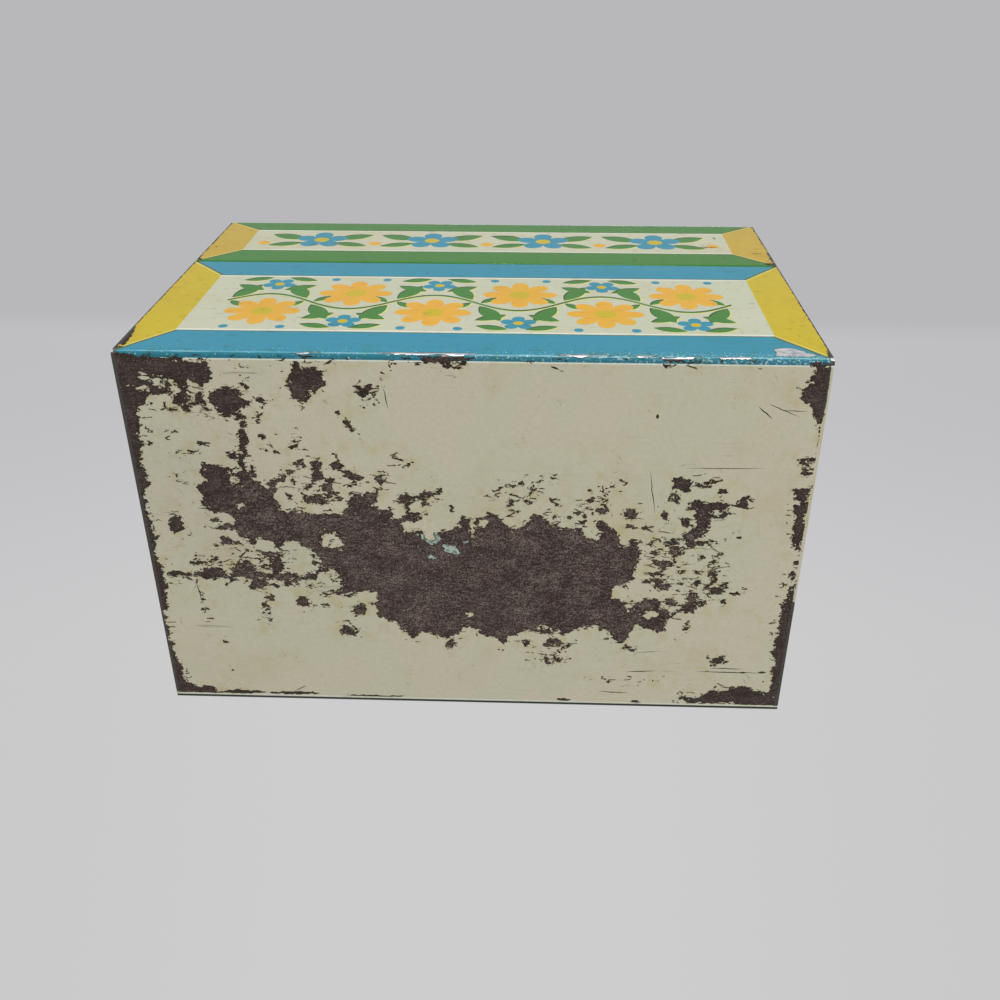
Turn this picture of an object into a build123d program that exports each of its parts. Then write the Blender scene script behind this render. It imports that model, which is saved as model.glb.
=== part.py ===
"""Hinged recipe card box of folded tinplate.

The body and the lid are each one wrap, bent front - bottom - back or front - top - back,
closed by two end panels whose flanges lie inside the wrap. The lid's back edge has two
curled tabs, the body's back edge three curled rolls, and one wire runs through them all.
Front is -Y, the bottom lies on Z = 0 and the origin is the middle of the bottom.
"""

from build123d import *
import os

os.makedirs("parts", exist_ok=True)

# Outside of the closed box, in millimetres
width = 133.35  # left to right, 5 1/4 in
depth = 82.55  # front to back, 3 1/4 in
height = 88.9  # bottom to top, 3 1/2 in
seam_height = 55.6  # bottom to the line where body and lid meet

# Sheet metal
sheet = 0.3  # thickness of the tinplate
wrap_bend = 0.9  # outside radius of a wrap's long folds
end_bend = 0.6  # outside radius where an end panel turns into its flanges
flange_width = 5.0  # reach of an end panel's flanges along the wrap
edge_setback = 0.2  # raw edge of a wrap, in from the end panel's outer face

# Neck that the lid closes over
neck_height = 5.5  # neck above the seam
neck_clearance = 0.4  # neck to the lid's hem
shoulder_bend = 0.6  # outside radius of the shoulder under the neck
root_bend = 0.15  # inside radius where the shoulder turns up into the neck
corner_gap = 0.3  # neck strips to each other at a corner
notch_depth = 0.7  # corner notch below the seam
neck_back_gap = 2.5  # end of a side neck to the back's outer face

# Lid's lower edge
seam_gap = 0.1  # hem above the shoulder
hem_width = 3.0  # height of the folded hem
flange_gap = 0.4  # lid end's side flanges above the hem
flange_drop = 2.5  # body end's side flanges below the seam

# Hinge
wire_diameter = 1.6
wire_clearance = 0.05  # radial, wire to the curls round it
curl_angle = 300.0  # how far a curl goes round the wire
curl_gap = 0.35  # curl to the cut edge facing it
tab_spacing = 76.0  # between the middles of the lid's two tabs
tab_width = 16.0
tab_gap = 0.3  # tab to the roll beside it
roll_setback = 2.0  # outer end of a roll, in from the end panel's face
wire_recess = 0.4  # wire end inside the roll

# Worked out from the above
half_sheet = sheet / 2
half_width = width / 2
half_depth = depth / 2
wrap_half_width = half_width - edge_setback
neck_inset = 2 * sheet + neck_clearance
neck_top = seam_height + neck_height
corner_notch = neck_inset + sheet + corner_gap
hem_base = seam_height + seam_gap
hem_top = hem_base + hem_width
end_mid = half_width - half_sheet
wall_mid = half_depth - half_sheet
flange_mid = half_depth - sheet - half_sheet
end_flat_half_depth = half_depth - sheet - end_bend
curl_bore = wire_diameter / 2 + wire_clearance
curl_mid = curl_bore + half_sheet
curl_outer = curl_bore + sheet
hinge_y = half_depth + curl_bore
window_reach = curl_outer + curl_gap
roll_end = half_width - roll_setback
tab_inner = (tab_spacing - tab_width) / 2
tab_outer = (tab_spacing + tab_width) / 2
roll_spans = (
    (-roll_end, -tab_outer - tab_gap),
    (tab_gap - tab_inner, tab_inner - tab_gap),
    (tab_outer + tab_gap, roll_end),
)


def curl_section(x, turn, reach):
    """Section at x of a back edge curled round the wire: over it (turn = -1) or under it (turn = 1)."""
    with BuildSketch(Plane.YZ.offset(x)) as section:
        with BuildLine():
            Line((wall_mid, seam_height + turn * reach), (wall_mid, seam_height))
            CenterArc((hinge_y, seam_height), curl_mid, 180, turn * curl_angle)
        trace(line_width=sheet)
    return section.sketch


def side_flange_section(z, side):
    """Section at z of an end panel's flange along the front (side = -1) or the back (side = 1)."""
    with BuildSketch(Plane.XY.offset(z)) as section:
        with BuildLine():
            FilletPolyline(
                (half_width - flange_width, side * flange_mid),
                (end_mid, side * flange_mid),
                (end_mid, side * (end_flat_half_depth - sheet)),
                radius=end_bend - half_sheet,
            )
        trace(line_width=sheet)
    return section.sketch


# Body wrap: front neck and shoulder, front, bottom and back
with BuildPart() as body_wrap:
    with BuildSketch(Plane.YZ):
        with BuildLine():
            FilletPolyline(
                (neck_inset - wall_mid, neck_top),
                (neck_inset - wall_mid, seam_height - half_sheet),
                (-wall_mid, seam_height - half_sheet),
                (-wall_mid, half_sheet),
                (wall_mid, half_sheet),
                (wall_mid, seam_height - window_reach),
                radius=[
                    root_bend + half_sheet,
                    shoulder_bend - half_sheet,
                    wrap_bend - half_sheet,
                    wrap_bend - half_sheet,
                ],
            )
        trace(line_width=sheet)
    extrude(amount=wrap_half_width, both=True)
    # the shoulder and the neck stop short of the corners
    with BuildSketch(Plane.XY.offset(seam_height - notch_depth)):
        with Locations((-half_width, -half_depth), (half_width, -half_depth)):
            Rectangle(2 * corner_notch, 2 * corner_notch)
    extrude(amount=neck_height + 2 * notch_depth, mode=Mode.SUBTRACT)
    for x_low, x_high in roll_spans:
        extrude(curl_section(x_low, -1, window_reach), amount=x_high - x_low)

# Body end: neck, shoulder, panel and bottom flange are one bent strip, with two side flanges
with BuildPart() as body_end_right:
    with BuildSketch(Plane.XZ):
        with BuildLine():
            FilletPolyline(
                (end_mid - neck_inset, neck_top),
                (end_mid - neck_inset, seam_height - half_sheet),
                (end_mid, seam_height - half_sheet),
                (end_mid, sheet + half_sheet),
                (half_width - flange_width, sheet + half_sheet),
                radius=[
                    root_bend + half_sheet,
                    shoulder_bend - half_sheet,
                    end_bend - half_sheet,
                ],
            )
        trace(line_width=sheet)
    extrude(amount=end_flat_half_depth, both=True)
    for side in (-1, 1):
        extrude(
            side_flange_section(sheet + end_bend, side),
            amount=seam_height - flange_drop - sheet - end_bend,
        )
    # the shoulder and the neck stop short of the front corner and of the hinge side
    with BuildSketch(Plane.XY.offset(seam_height - notch_depth)):
        with Locations((half_width, -half_depth)):
            Rectangle(4 * neck_inset, 2 * corner_notch)
        with Locations((half_width, half_depth)):
            Rectangle(4 * neck_inset, 2 * neck_back_gap)
    extrude(amount=neck_height + 2 * notch_depth, mode=Mode.SUBTRACT)

with BuildPart() as body_end_left:
    mirror(body_end_right.part, about=Plane.YZ)

# Lid wrap: hemmed front, top and back
with BuildPart() as lid_wrap:
    with BuildSketch(Plane.YZ):
        with BuildLine():
            FilletPolyline(
                (-wall_mid, hem_base + sheet),
                (-wall_mid, height - half_sheet),
                (wall_mid, height - half_sheet),
                (wall_mid, seam_height + window_reach),
                radius=wrap_bend - half_sheet,
            )
        trace(line_width=sheet)
        with Locations((sheet - half_depth, hem_base + sheet)):
            Circle(sheet)
            Rectangle(2 * sheet, hem_width - sheet, align=(Align.CENTER, Align.MIN))
    extrude(amount=wrap_half_width, both=True)
    for x_low in (-tab_outer, tab_inner):
        extrude(curl_section(x_low, 1, window_reach), amount=tab_width)

# Lid end: hem, panel and top flange are one bent strip, with two side flanges
with BuildPart() as lid_end_right:
    with BuildSketch(Plane.XZ):
        with BuildLine():
            FilletPolyline(
                (end_mid, hem_base + sheet),
                (end_mid, height - sheet - half_sheet),
                (half_width - flange_width, height - sheet - half_sheet),
                radius=end_bend - half_sheet,
            )
        trace(line_width=sheet)
        with Locations((half_width - sheet, hem_base + sheet)):
            Circle(sheet)
            Rectangle(2 * sheet, hem_width - sheet, align=(Align.CENTER, Align.MIN))
    extrude(amount=end_flat_half_depth, both=True)
    for side in (-1, 1):
        extrude(
            side_flange_section(hem_top + flange_gap, side),
            amount=height - sheet - end_bend - hem_top - flange_gap,
        )

with BuildPart() as lid_end_left:
    mirror(lid_end_right.part, about=Plane.YZ)

# Hinge wire, held in the body's rolls
with BuildPart() as hinge_wire:
    with BuildSketch(Plane.YZ):
        with Locations((hinge_y, seam_height)):
            Circle(wire_diameter / 2)
    extrude(amount=roll_end - wire_recess, both=True)
    chamfer(hinge_wire.edges().filter_by(GeomType.CIRCLE), wire_diameter / 8)

pieces = {
    "body_wrap": body_wrap,
    "body_end_left": body_end_left,
    "body_end_right": body_end_right,
    "lid_wrap": lid_wrap,
    "lid_end_left": lid_end_left,
    "lid_end_right": lid_end_right,
    "hinge_wire": hinge_wire,
}
for name, piece in pieces.items():
    piece.part.label = name
    export_step(piece.part, f"parts/{name}.step")
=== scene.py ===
"""Looks of the recipe card box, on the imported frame.

The six sheet pieces are made again as finer bent sheets with slight dents and a wear field, and the
hinge wire keeps its own mesh. Lengths are in millimetres until a mesh is written, angles in degrees.
Front is -Y and the bottom lies on z = 0, as in the frame.
"""

import math

import bpy
import numpy as np
from mathutils import Matrix


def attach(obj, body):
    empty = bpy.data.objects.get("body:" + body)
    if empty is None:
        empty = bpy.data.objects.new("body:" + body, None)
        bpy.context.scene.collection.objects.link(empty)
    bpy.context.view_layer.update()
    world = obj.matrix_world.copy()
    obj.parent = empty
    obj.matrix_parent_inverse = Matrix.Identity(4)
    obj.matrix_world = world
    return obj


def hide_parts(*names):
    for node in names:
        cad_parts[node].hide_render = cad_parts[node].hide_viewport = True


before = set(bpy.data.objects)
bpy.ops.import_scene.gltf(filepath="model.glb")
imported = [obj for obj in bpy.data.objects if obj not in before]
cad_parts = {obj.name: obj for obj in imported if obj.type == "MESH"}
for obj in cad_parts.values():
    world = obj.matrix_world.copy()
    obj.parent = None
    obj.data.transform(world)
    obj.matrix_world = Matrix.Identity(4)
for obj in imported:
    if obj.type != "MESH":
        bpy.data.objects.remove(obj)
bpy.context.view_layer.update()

MM = 0.001

# The box, as in the part's source
HALF_WIDTH = 66.675
HALF_DEPTH = 41.275
HEIGHT = 88.9
SEAM = 55.6
SHEET = 0.3
HALF_SHEET = SHEET / 2
WRAP_BEND = 0.9
END_BEND = 0.6
WRAP_HALF_WIDTH = 66.475
FLANGE_WIDTH = 5.0
NECK_TOP = 61.1
NECK_INSET = 1.0
SHOULDER_BEND = 0.6
ROOT_BEND = 0.15
CORNER_NOTCH = 1.6
NOTCH_DEPTH = 0.7
NECK_BACK_GAP = 2.5
HEM_BASE = 55.7
HEM_WIDTH = 3.0
HEM_FOLD = 0.16
FLANGE_GAP = 0.4
FLANGE_DROP = 2.5
HINGE_Y = 42.125
CURL_MID = 1.0
CURL_TURN = 300
WINDOW_REACH = 1.5
ROLL_SPANS = ((-64.675, -46.3), (-29.7, 29.7), (46.3, 64.675))
TAB_SPANS = ((-46.0, -30.0), (30.0, 46.0))

WALL_MID = HALF_DEPTH - HALF_SHEET
END_MID = HALF_WIDTH - HALF_SHEET
END_FLAT = HALF_DEPTH - SHEET - END_BEND
NECK_ENDS = (CORNER_NOTCH - HALF_DEPTH, HALF_DEPTH - NECK_BACK_GAP)

# Grid steps of the finer sheets
FINE_STEP = 0.68
PANEL_STEP = 1.5
BODY_FRONT_STEP = 1.4
BODY_BACK_STEP = 2.5
LID_FRONT_STEP = 1.0
LID_TOP_STEP = 1.2
LID_ACROSS_STEP = 0.9
END_STEP = 1.2
END_ACROSS_STEP = 1.0

# Edges that turn by more degrees than this aren't shaded smooth
SHARP_ANGLE = 40

# The slight dents, always inwards: depth, size, and how far they fade out from a panel's edges
DENT_DEPTH = 0.16
DENT_CELL = 26.0
DENT_FADE_ACROSS = 12
DENT_FADE_ALONG = 9

# Dark line that the raw side edges of the wraps show on the walls
RAW_EDGE_LINE = 0.24

# Places along a wrap, from the middle of its flat: where the flat ends, where a wall starts and ends,
# how far the wear of the body's side edges and bottom goes, and the middle of the lid's folds
FLAT_END = 40.3
WALL_START = 42.0
WALL_END = 94.0
EDGE_WEAR_END = 41.0
BOTTOM_WEAR_END = 54.0
LID_FOLD = 41.2

# The wear shapes are drawn a little large: they are looked up at places stretched and moved by this,
# and pushed about by a noise
WEAR_STRETCH = 1.011
WEAR_SHIFT = (-0.11, 0.34)
WEAR_WOBBLE = 0.3
WOBBLE_CELL = 2.6

# How far wear reaches in from an edge: the body wrap's raw edges, the lid's folds, and the ends' sides,
# bottom, top and seam
RAW_EDGE_REACH = 0.55
LID_FOLD_REACH = 0.14
END_SIDE_REACH = 0.9
END_BOTTOM_REACH = 0.8
END_TOP_REACH = 0.7
END_SEAM_REACH = 0.4

# The lattice of a soft noise: its points each way, and the one that lies at 0
LATTICE = 512
LATTICE_MIDDLE = 200.0

# Depths that stand for never worn
FAR_OUTSIDE = -50.0
INNER_SKIN = -20.0

# Right of this the bottom's side edge keeps its paint, over a stretch about a middle
RIGHT_SLIVER = 66.1
SLIVER_MIDDLE = -14
SLIVER_HALF_LENGTH = 26
# The bottom's wear ends this far back, and nothing near the back fold is worn
WORN_TO_BACK = 39.75
BACK_FOLD = 40.2
BACK_FOLD_REACH = 1.6
CUT_SLOPE = 8

# Width of the border in which a busy place fades
BUSY_FADE = 4


# ---------------------------------------------------------------- wear, drawn one by one
# Places are on the body's wrap laid flat: x from its middle line, y from the bottom's middle towards
# the back. An outline is its points, an oval is x, y, half length, half width and turn.

LONG_CHIPS = (
    (-49.2, 8.76, 12.6, 0.95, 1.6), (-57.2, 8.5, 4.6, 0.7, -1.5), (-44.7, -22.4, 5.6, 0.85, 98.0),
    (-44.1, 17.0, 2.3, 0.7, 102.1),
)
# Ovals in which the paint is full of loose flecks and cracks
BUSY_PLACES = (
    (43.5, 4.0, 13.0, 10.0, 25.0), (-52.0, -30.0, 13.0, 5.0, 0.0), (-28.0, -13.5, 15.0, 6.0, 10.0),
    (10.0, -13.0, 15.0, 5.0, 0.0), (-47.0, 5.0, 13.0, 7.0, 10.0), (16.0, 26.0, 16.0, 4.0, 0.0),
)

MAIN_BLOT = (
    (-53.2, -17.9), (-51.2, -17.7), (-49.1, -17.3), (-47.6, -16.6), (-46.0, -16.9), (-43.9, -16.2),
    (-43.0, -15.6), (-43.5, -13.9), (-41.3, -13.8), (-39.2, -14.9), (-37.0, -15.5), (-37.8, -13.9),
    (-39.3, -12.0), (-39.8, -10.4), (-38.8, -7.8), (-36.6, -7.4), (-35.2, -8.1), (-33.7, -7.2),
    (-31.1, -6.9), (-26.2, -7.1), (-25.1, -8.9), (-24.4, -10.4), (-24.6, -11.8), (-22.1, -11.5),
    (-20.4, -12.3), (-18.9, -11.2), (-18.6, -9.4), (-20.0, -8.7), (-18.1, -8.1), (-16.8, -8.7),
    (-15.9, -7.9), (-16.0, -6.5), (-14.4, -5.0), (-14.1, -3.5), (-10.8, -2.9), (-8.6, -2.0),
    (-7.0, -2.8), (-4.3, -3.1), (-2.7, -4.7), (-2.0, -6.6), (0.0, -6.2), (1.6, -6.0), (2.8, -7.0),
    (3.5, -8.1), (5.4, -7.2), (6.4, -5.9), (7.7, -4.1), (9.9, -4.9), (11.5, -5.3), (11.9, -7.6),
    (14.4, -6.5), (16.7, -4.9), (19.2, -4.3), (21.8, -4.4), (22.9, -2.1), (25.1, -1.5), (26.1, -2.9),
    (24.5, -5.5), (25.5, -6.5), (27.1, -5.5), (29.2, -4.5), (29.6, -2.3), (30.6, -0.4), (31.9, -0.7),
    (31.6, -1.7), (33.8, -2.1), (33.9, 0.3), (33.8, 3.4), (33.3, 5.4), (33.4, 7.8), (31.1, 9.0),
    (28.9, 10.2), (28.7, 11.9), (31.2, 13.0), (33.5, 14.0), (36.9, 12.1), (39.1, 13.6), (38.8, 15.1),
    (40.5, 15.1), (41.7, 16.9), (40.5, 18.5), (40.5, 21.0), (38.2, 21.0), (34.9, 19.6), (33.3, 21.0),
    (33.4, 22.6), (31.7, 24.0), (29.1, 22.4), (27.4, 20.6), (26.0, 19.9), (23.3, 20.1), (21.6, 21.2),
    (19.0, 22.9), (18.3, 21.6), (14.1, 22.0), (11.6, 21.4), (8.1, 22.9), (7.1, 23.2), (6.6, 25.4),
    (5.3, 24.1), (3.6, 23.3), (1.3, 22.0), (-0.4, 21.0), (-2.6, 20.9), (-3.3, 22.7), (-4.7, 23.5),
    (-4.0, 26.1), (-6.1, 24.4), (-8.8, 23.0), (-10.8, 22.3), (-13.1, 24.2), (-14.4, 22.3),
    (-16.7, 20.2), (-20.0, 18.4), (-20.9, 16.5), (-22.2, 15.3), (-20.5, 14.3), (-20.6, 12.4),
    (-25.4, 12.5), (-26.8, 13.4), (-29.6, 13.5), (-32.2, 13.1), (-29.7, 11.8), (-27.7, 11.5),
    (-27.6, 10.1), (-28.0, 7.3), (-30.1, 7.0), (-30.8, 5.4), (-32.1, 3.8), (-33.7, 2.7), (-34.8, 1.2),
    (-35.9, -0.8), (-37.6, -0.3), (-39.4, 1.2), (-41.4, 1.3), (-41.8, -0.6), (-43.9, -0.6),
    (-45.3, 0.6), (-46.8, -0.6), (-48.0, -1.7), (-48.8, -2.8), (-48.0, -4.0), (-49.1, -5.5),
    (-51.0, -6.5), (-53.8, -7.2), (-55.2, -7.5), (-54.4, -9.9), (-54.7, -12.1), (-55.5, -13.3),
    (-52.6, -13.6), (-52.5, -14.5), (-53.5, -16.1),
)
FRONT_LEFT_CORNER = (
    (-72.2, -40.9), (-66.6, -40.8), (-62.1, -40.5), (-56.8, -40.0), (-51.3, -40.0), (-49.5, -39.6),
    (-49.1, -38.2), (-49.1, -35.7), (-50.6, -34.8), (-51.3, -33.3), (-51.1, -31.9), (-51.6, -31.0),
    (-52.6, -31.6), (-52.4, -29.6), (-54.0, -29.1), (-55.1, -28.9), (-55.5, -30.1), (-56.7, -30.8),
    (-56.8, -32.5), (-58.1, -32.7), (-59.7, -32.9), (-61.6, -32.8), (-62.2, -31.5), (-63.6, -29.9),
    (-64.3, -27.1), (-64.7, -25.7), (-65.0, -23.1), (-64.5, -22.0), (-65.3, -21.0), (-65.0, -19.1),
    (-65.5, -17.6), (-65.5, -15.2), (-65.4, -13.0), (-66.0, -9.2), (-66.8, -9.2), (-76.6, -9.0),
)
ISLAND_A = (
    (-63.5, -37.5), (-62.9, -37.0), (-61.7, -36.8), (-60.4, -35.8), (-58.7, -36.1), (-58.1, -34.3),
    (-59.1, -34.1), (-60.5, -34.4), (-61.4, -35.4), (-62.9, -36.0),
)
SPOT_1 = (
    (-49.9, -32.6), (-47.2, -34.2), (-46.0, -33.9), (-44.1, -34.6), (-43.9, -32.7), (-42.8, -31.1),
    (-43.4, -29.7), (-44.4, -28.8), (-46.9, -28.4), (-49.2, -28.5), (-49.6, -30.6), (-50.0, -31.9),
)
SPOT_2 = (
    (-33.4, -39.9), (-32.2, -39.8), (-32.4, -38.3), (-31.3, -38.7), (-29.0, -38.8), (-27.6, -37.7),
    (-27.5, -36.2), (-27.0, -35.4), (-28.0, -34.2), (-29.2, -33.9), (-29.3, -32.9), (-30.3, -33.2),
    (-31.2, -31.8), (-32.6, -31.5), (-34.2, -32.0), (-34.7, -34.5), (-34.4, -36.4), (-33.3, -37.8),
    (-33.4, -38.9),
)
SPOT_3 = (
    (-21.4, -33.7), (-20.3, -34.0), (-19.6, -33.2), (-18.3, -32.6), (-19.6, -31.9), (-20.6, -32.6),
)
BEND_SPOT = (
    (-8.6, -41.0), (-0.6, -41.1), (-1.1, -40.1), (-2.9, -39.8), (-4.6, -39.5), (-6.6, -39.7),
    (-8.4, -40.0),
)
RIGHT_NET = (
    (42.7, -10.9), (44.4, -11.5), (46.4, -10.9), (49.6, -11.5), (49.9, -10.4), (53.0, -10.4),
    (53.2, -12.0), (54.5, -11.8), (55.0, -9.9), (51.8, -9.9), (50.8, -9.7), (51.0, -7.4), (48.8, -7.0),
    (47.7, -6.5), (47.5, -4.6), (46.5, -3.4), (45.3, -1.8), (45.1, -0.0), (43.7, -0.6), (42.2, -3.3),
    (44.4, -4.5), (44.9, -6.5), (44.1, -8.0), (45.3, -8.8), (44.9, -9.6), (42.8, -9.3),
)
RIGHT_CHIP = (
    (39.2, -15.9), (43.4, -16.0), (42.5, -13.1), (39.7, -13.4),
)
RIGHT_STRIP_A = (
    (63.5, -10.9), (66.6, -10.9), (66.6, -7.7), (66.8, -4.6), (66.4, -1.4), (66.1, -0.0), (64.8, -0.0),
    (64.5, -3.8), (64.1, -6.5), (63.9, -9.5),
)
RIGHT_STRIP_B = (
    (65.3, 8.9), (70.7, 8.8), (72.2, 18.7), (75.4, 41.1), (68.4, 43.5), (65.6, 41.4), (64.6, 36.0),
    (64.5, 32.3), (65.0, 29.5), (63.9, 26.0), (64.3, 22.4), (64.5, 18.9), (64.7, 14.6), (64.1, 12.9),
    (65.3, 11.6),
)
BACK_RIGHT_CORNER = (
    (45.7, 39.4), (49.6, 38.3), (53.1, 36.6), (56.6, 36.0), (60.2, 36.1), (64.6, 36.2), (67.1, 38.8),
    (67.6, 42.6), (60.8, 40.8), (53.4, 40.3), (46.9, 40.8), (45.2, 38.4),
)
FRONT_RIGHT = (
    (62.2, -40.9), (68.0, -40.9), (68.4, -33.3), (67.2, -28.8), (65.3, -28.3), (64.1, -31.2),
    (62.3, -33.7), (62.0, -35.7), (63.4, -37.3), (63.9, -38.9),
)
SCUFF = (
    (56.6, -42.7), (56.9, -46.0), (59.5, -46.9), (62.0, -45.4), (64.6, -42.6), (62.0, -42.1), (59.5, -42.2),
)
CHIPS_FRONT_LEFT = (
    (-42.7, -34.4, 0.4, 1.0, 0), (-41.8, -32.5, 0.6, 0.2, 30), (-40.8, -32.0, 0.5, 0.2, 0),
    (-41.2, -30.7, 1.0, 0.2, -10), (-40.0, -30.5, 0.2, 0.8, 0), (-41.1, -27.7, 0.6, 0.7, 0),
    (-43.7, -26.5, 0.5, 1.2, 0), (-44.1, -23.9, 0.4, 1.4, 0), (-44.6, -21.3, 0.5, 1.2, 0),
    (-45.1, -18.4, 0.3, 1.5, 0), (-62.9, -22.7, 0.4, 0.4, 0), (-62.6, -23.7, 0.2, 0.2, 0),
    (-58.7, -24.8, 0.3, 0.1, 0), (-55.0, -20.2, 1.1, 0.3, 0), (-52.5, -21.8, 0.4, 0.2, 0),
    (-53.5, -22.6, 0.3, 0.1, 0), (-47.2, -20.1, 0.8, 0.7, 0), (-48.5, -23.8, 0.3, 0.2, 0),
    (-40.3, -23.8, 0.5, 0.4, 0), (-39.1, -22.4, 0.4, 0.5, 0), (-40.5, -21.0, 0.3, 0.2, 0),
    (-39.5, -20.9, 0.2, 0.2, 0), (-56.4, -14.7, 0.3, 0.2, 0), (-58.8, -29.2, 1.1, 0.2, 0),
    (-51.0, -30.5, 0.2, 0.9, 0), (-50.5, -28.7, 0.2, 0.9, 50),
)
ISLANDS_FRONT_LEFT = (
    (-55.9, -33.4, 0.8, 1.0, 0), (-52.6, -34.1, 1.4, 1.6, 0), (-56.8, -35.5, 0.9, 0.5, 0),
    (-62.6, -34.4, 0.8, 0.3, 0), (-53.0, -30.3, 0.8, 0.9, 0), (-55.2, -32.1, 0.5, 0.3, 0),
)
CHIPS_ABOVE = (
    (-35.0, -21.8, 0.9, 0.6, 0), (-34.5, -23.4, 0.3, 0.6, 0), (-38.1, -21.2, 0.4, 0.4, 0),
    (-26.7, -18.1, 1.0, 1.1, 0), (-26.6, -19.9, 0.2, 0.4, 0), (-33.8, -17.7, 1.4, 0.8, 0),
    (-30.9, -18.1, 1.1, 1.0, 0), (-35.9, -16.3, 1.1, 0.5, 0), (-30.6, -15.2, 1.3, 1.4, 0),
    (-31.4, -12.5, 0.8, 0.9, 0), (-28.7, -12.5, 1.2, 1.2, 0), (-27.2, -11.5, 0.8, 0.4, 0),
    (-34.5, -12.1, 0.7, 0.5, 0), (-22.9, -15.3, 1.6, 0.7, 20), (-24.5, -16.4, 0.7, 0.5, 30),
    (-18.2, -15.1, 0.9, 0.7, 0), (-17.8, -13.8, 0.2, 0.7, 0), (-17.2, -16.2, 0.3, 0.3, 0),
    (-17.6, -12.5, 0.5, 0.2, 0), (-13.5, -11.1, 1.7, 0.9, 0), (-8.7, -11.5, 1.7, 0.6, 0),
    (-6.6, -12.7, 0.6, 0.8, 0), (-12.6, -18.3, 0.2, 0.3, 0), (-14.9, -19.8, 0.2, 0.2, 0),
    (-19.2, -34.6, 0.7, 0.7, 0), (-16.8, -36.0, 0.3, 0.7, 20), (-24.1, -27.8, 0.3, 1.6, -35),
)
CHIPS_LEFT = (
    (-33.9, -17.6, 1.4, 0.7, 0), (-36.6, -10.3, 1.0, 0.9, 0), (-32.4, -10.1, 2.4, 1.2, 0),
    (-29.0, -10.7, 0.9, 0.9, 0), (-13.4, -10.8, 1.8, 1.2, 0), (-12.7, -6.1, 2.3, 1.2, 0),
    (-12.9, -8.0, 0.3, 0.8, 0), (-60.5, -3.9, 1.6, 1.8, 0), (-52.2, -5.0, 1.0, 0.6, -20),
    (-51.1, -3.1, 2.3, 0.8, 5), (-51.0, 0.1, 1.4, 1.3, 0), (-48.2, 0.8, 0.5, 0.5, 0),
    (-47.3, 1.8, 0.4, 0.5, 0), (-42.1, 3.3, 2.5, 1.0, 0), (-41.0, 6.0, 1.4, 2.4, 0),
    (-38.6, 8.2, 2.0, 1.0, 10), (-47.9, 6.8, 2.0, 1.8, 0), (-49.6, 8.5, 12.5, 0.5, 0),
    (-54.6, 7.9, 1.9, 0.8, 0), (-57.0, 5.3, 1.7, 0.8, 0), (-53.6, 4.5, 0.7, 0.5, 0),
    (-45.2, 10.9, 2.0, 1.2, 0), (-41.7, 11.1, 0.5, 0.3, 0), (-38.6, 10.6, 0.6, 0.5, 0),
    (-34.2, 10.9, 0.5, 0.6, 0), (-44.0, 17.1, 0.4, 2.1, 0), (-42.7, 14.4, 0.3, 0.6, 0),
    (-36.1, 15.0, 1.4, 1.3, 0), (-35.0, 16.0, 0.7, 0.8, 0), (-31.4, 15.8, 0.6, 0.3, 0),
    (-27.7, 16.3, 0.7, 0.3, 0), (-27.3, 22.8, 1.3, 1.2, 0), (-25.7, 22.2, 0.5, 0.2, 0),
    (-31.5, 6.8, 1.4, 1.0, -20), (-33.0, 5.1, 0.6, 0.6, 0), (-29.8, 8.6, 0.5, 0.3, 0),
    (-24.3, 16.6, 1.4, 1.3, 0), (-58.1, 13.3, 0.2, 2.5, -12), (-55.7, -20.3, 0.5, 0.3, 0),
)
ISLANDS_LEFT = (
    (-47.4, -14.7, 1.0, 1.0, 0), (-47.0, -8.1, 0.8, 0.5, -35), (-41.1, -12.8, 0.4, 0.4, 0),
    (-38.6, -12.9, 0.8, 0.4, 0), (-38.9, -10.9, 0.9, 0.7, 0), (-37.7, -8.7, 1.4, 1.3, 0),
    (-33.7, -8.0, 1.2, 0.6, 0), (-28.7, -0.3, 2.2, 1.7, 10), (-18.7, -9.0, 1.0, 0.6, 0),
)
CHIPS_MIDDLE = (
    (10.0, -14.3, 0.6, 0.6, 0), (11.3, -11.4, 0.6, 0.8, 0), (11.9, -13.4, 0.4, 0.3, 0),
    (4.8, -11.7, 0.6, 0.4, 0), (3.8, -11.1, 0.3, 0.3, 0), (7.7, -9.9, 0.4, 0.8, 0),
    (8.0, -8.4, 1.0, 0.5, 0), (-9.6, -9.6, 0.3, 0.3, 0), (-4.2, -8.9, 0.7, 0.7, 0),
    (-8.7, -7.2, 1.0, 0.4, 0), (16.5, -9.9, 0.4, 0.3, 0), (16.6, -7.3, 0.5, 0.4, 0),
    (19.8, -6.6, 0.4, 0.4, 0), (23.3, -11.1, 0.6, 0.5, 0), (26.1, -11.5, 0.8, 1.3, 0),
    (25.7, -13.7, 0.4, 0.7, 0), (27.2, -14.8, 0.6, 0.3, 0), (23.7, -13.1, 0.3, 0.4, 0),
    (23.2, -8.8, 1.5, 0.7, 0), (25.9, -8.7, 1.0, 0.9, 0), (22.4, -6.6, 0.4, 1.5, 0),
    (31.5, -8.3, 1.1, 1.1, 0), (33.6, -5.2, 1.3, 0.4, 0), (17.3, 24.3, 2.1, 1.2, 0),
    (11.5, 24.6, 1.0, 0.5, 0), (-5.1, 25.2, 1.0, 1.1, 0), (33.5, 25.8, 0.9, 0.4, 0),
    (17.9, 29.2, 1.0, 0.9, 0), (11.7, 29.6, 0.3, 0.4, 0), (15.5, 28.6, 0.3, 0.4, 0),
    (16.1, 30.2, 0.3, 0.3, 0), (-12.5, -18.4, 0.3, 0.3, 0), (16.1, -15.8, 0.3, 0.2, 0),
)
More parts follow.
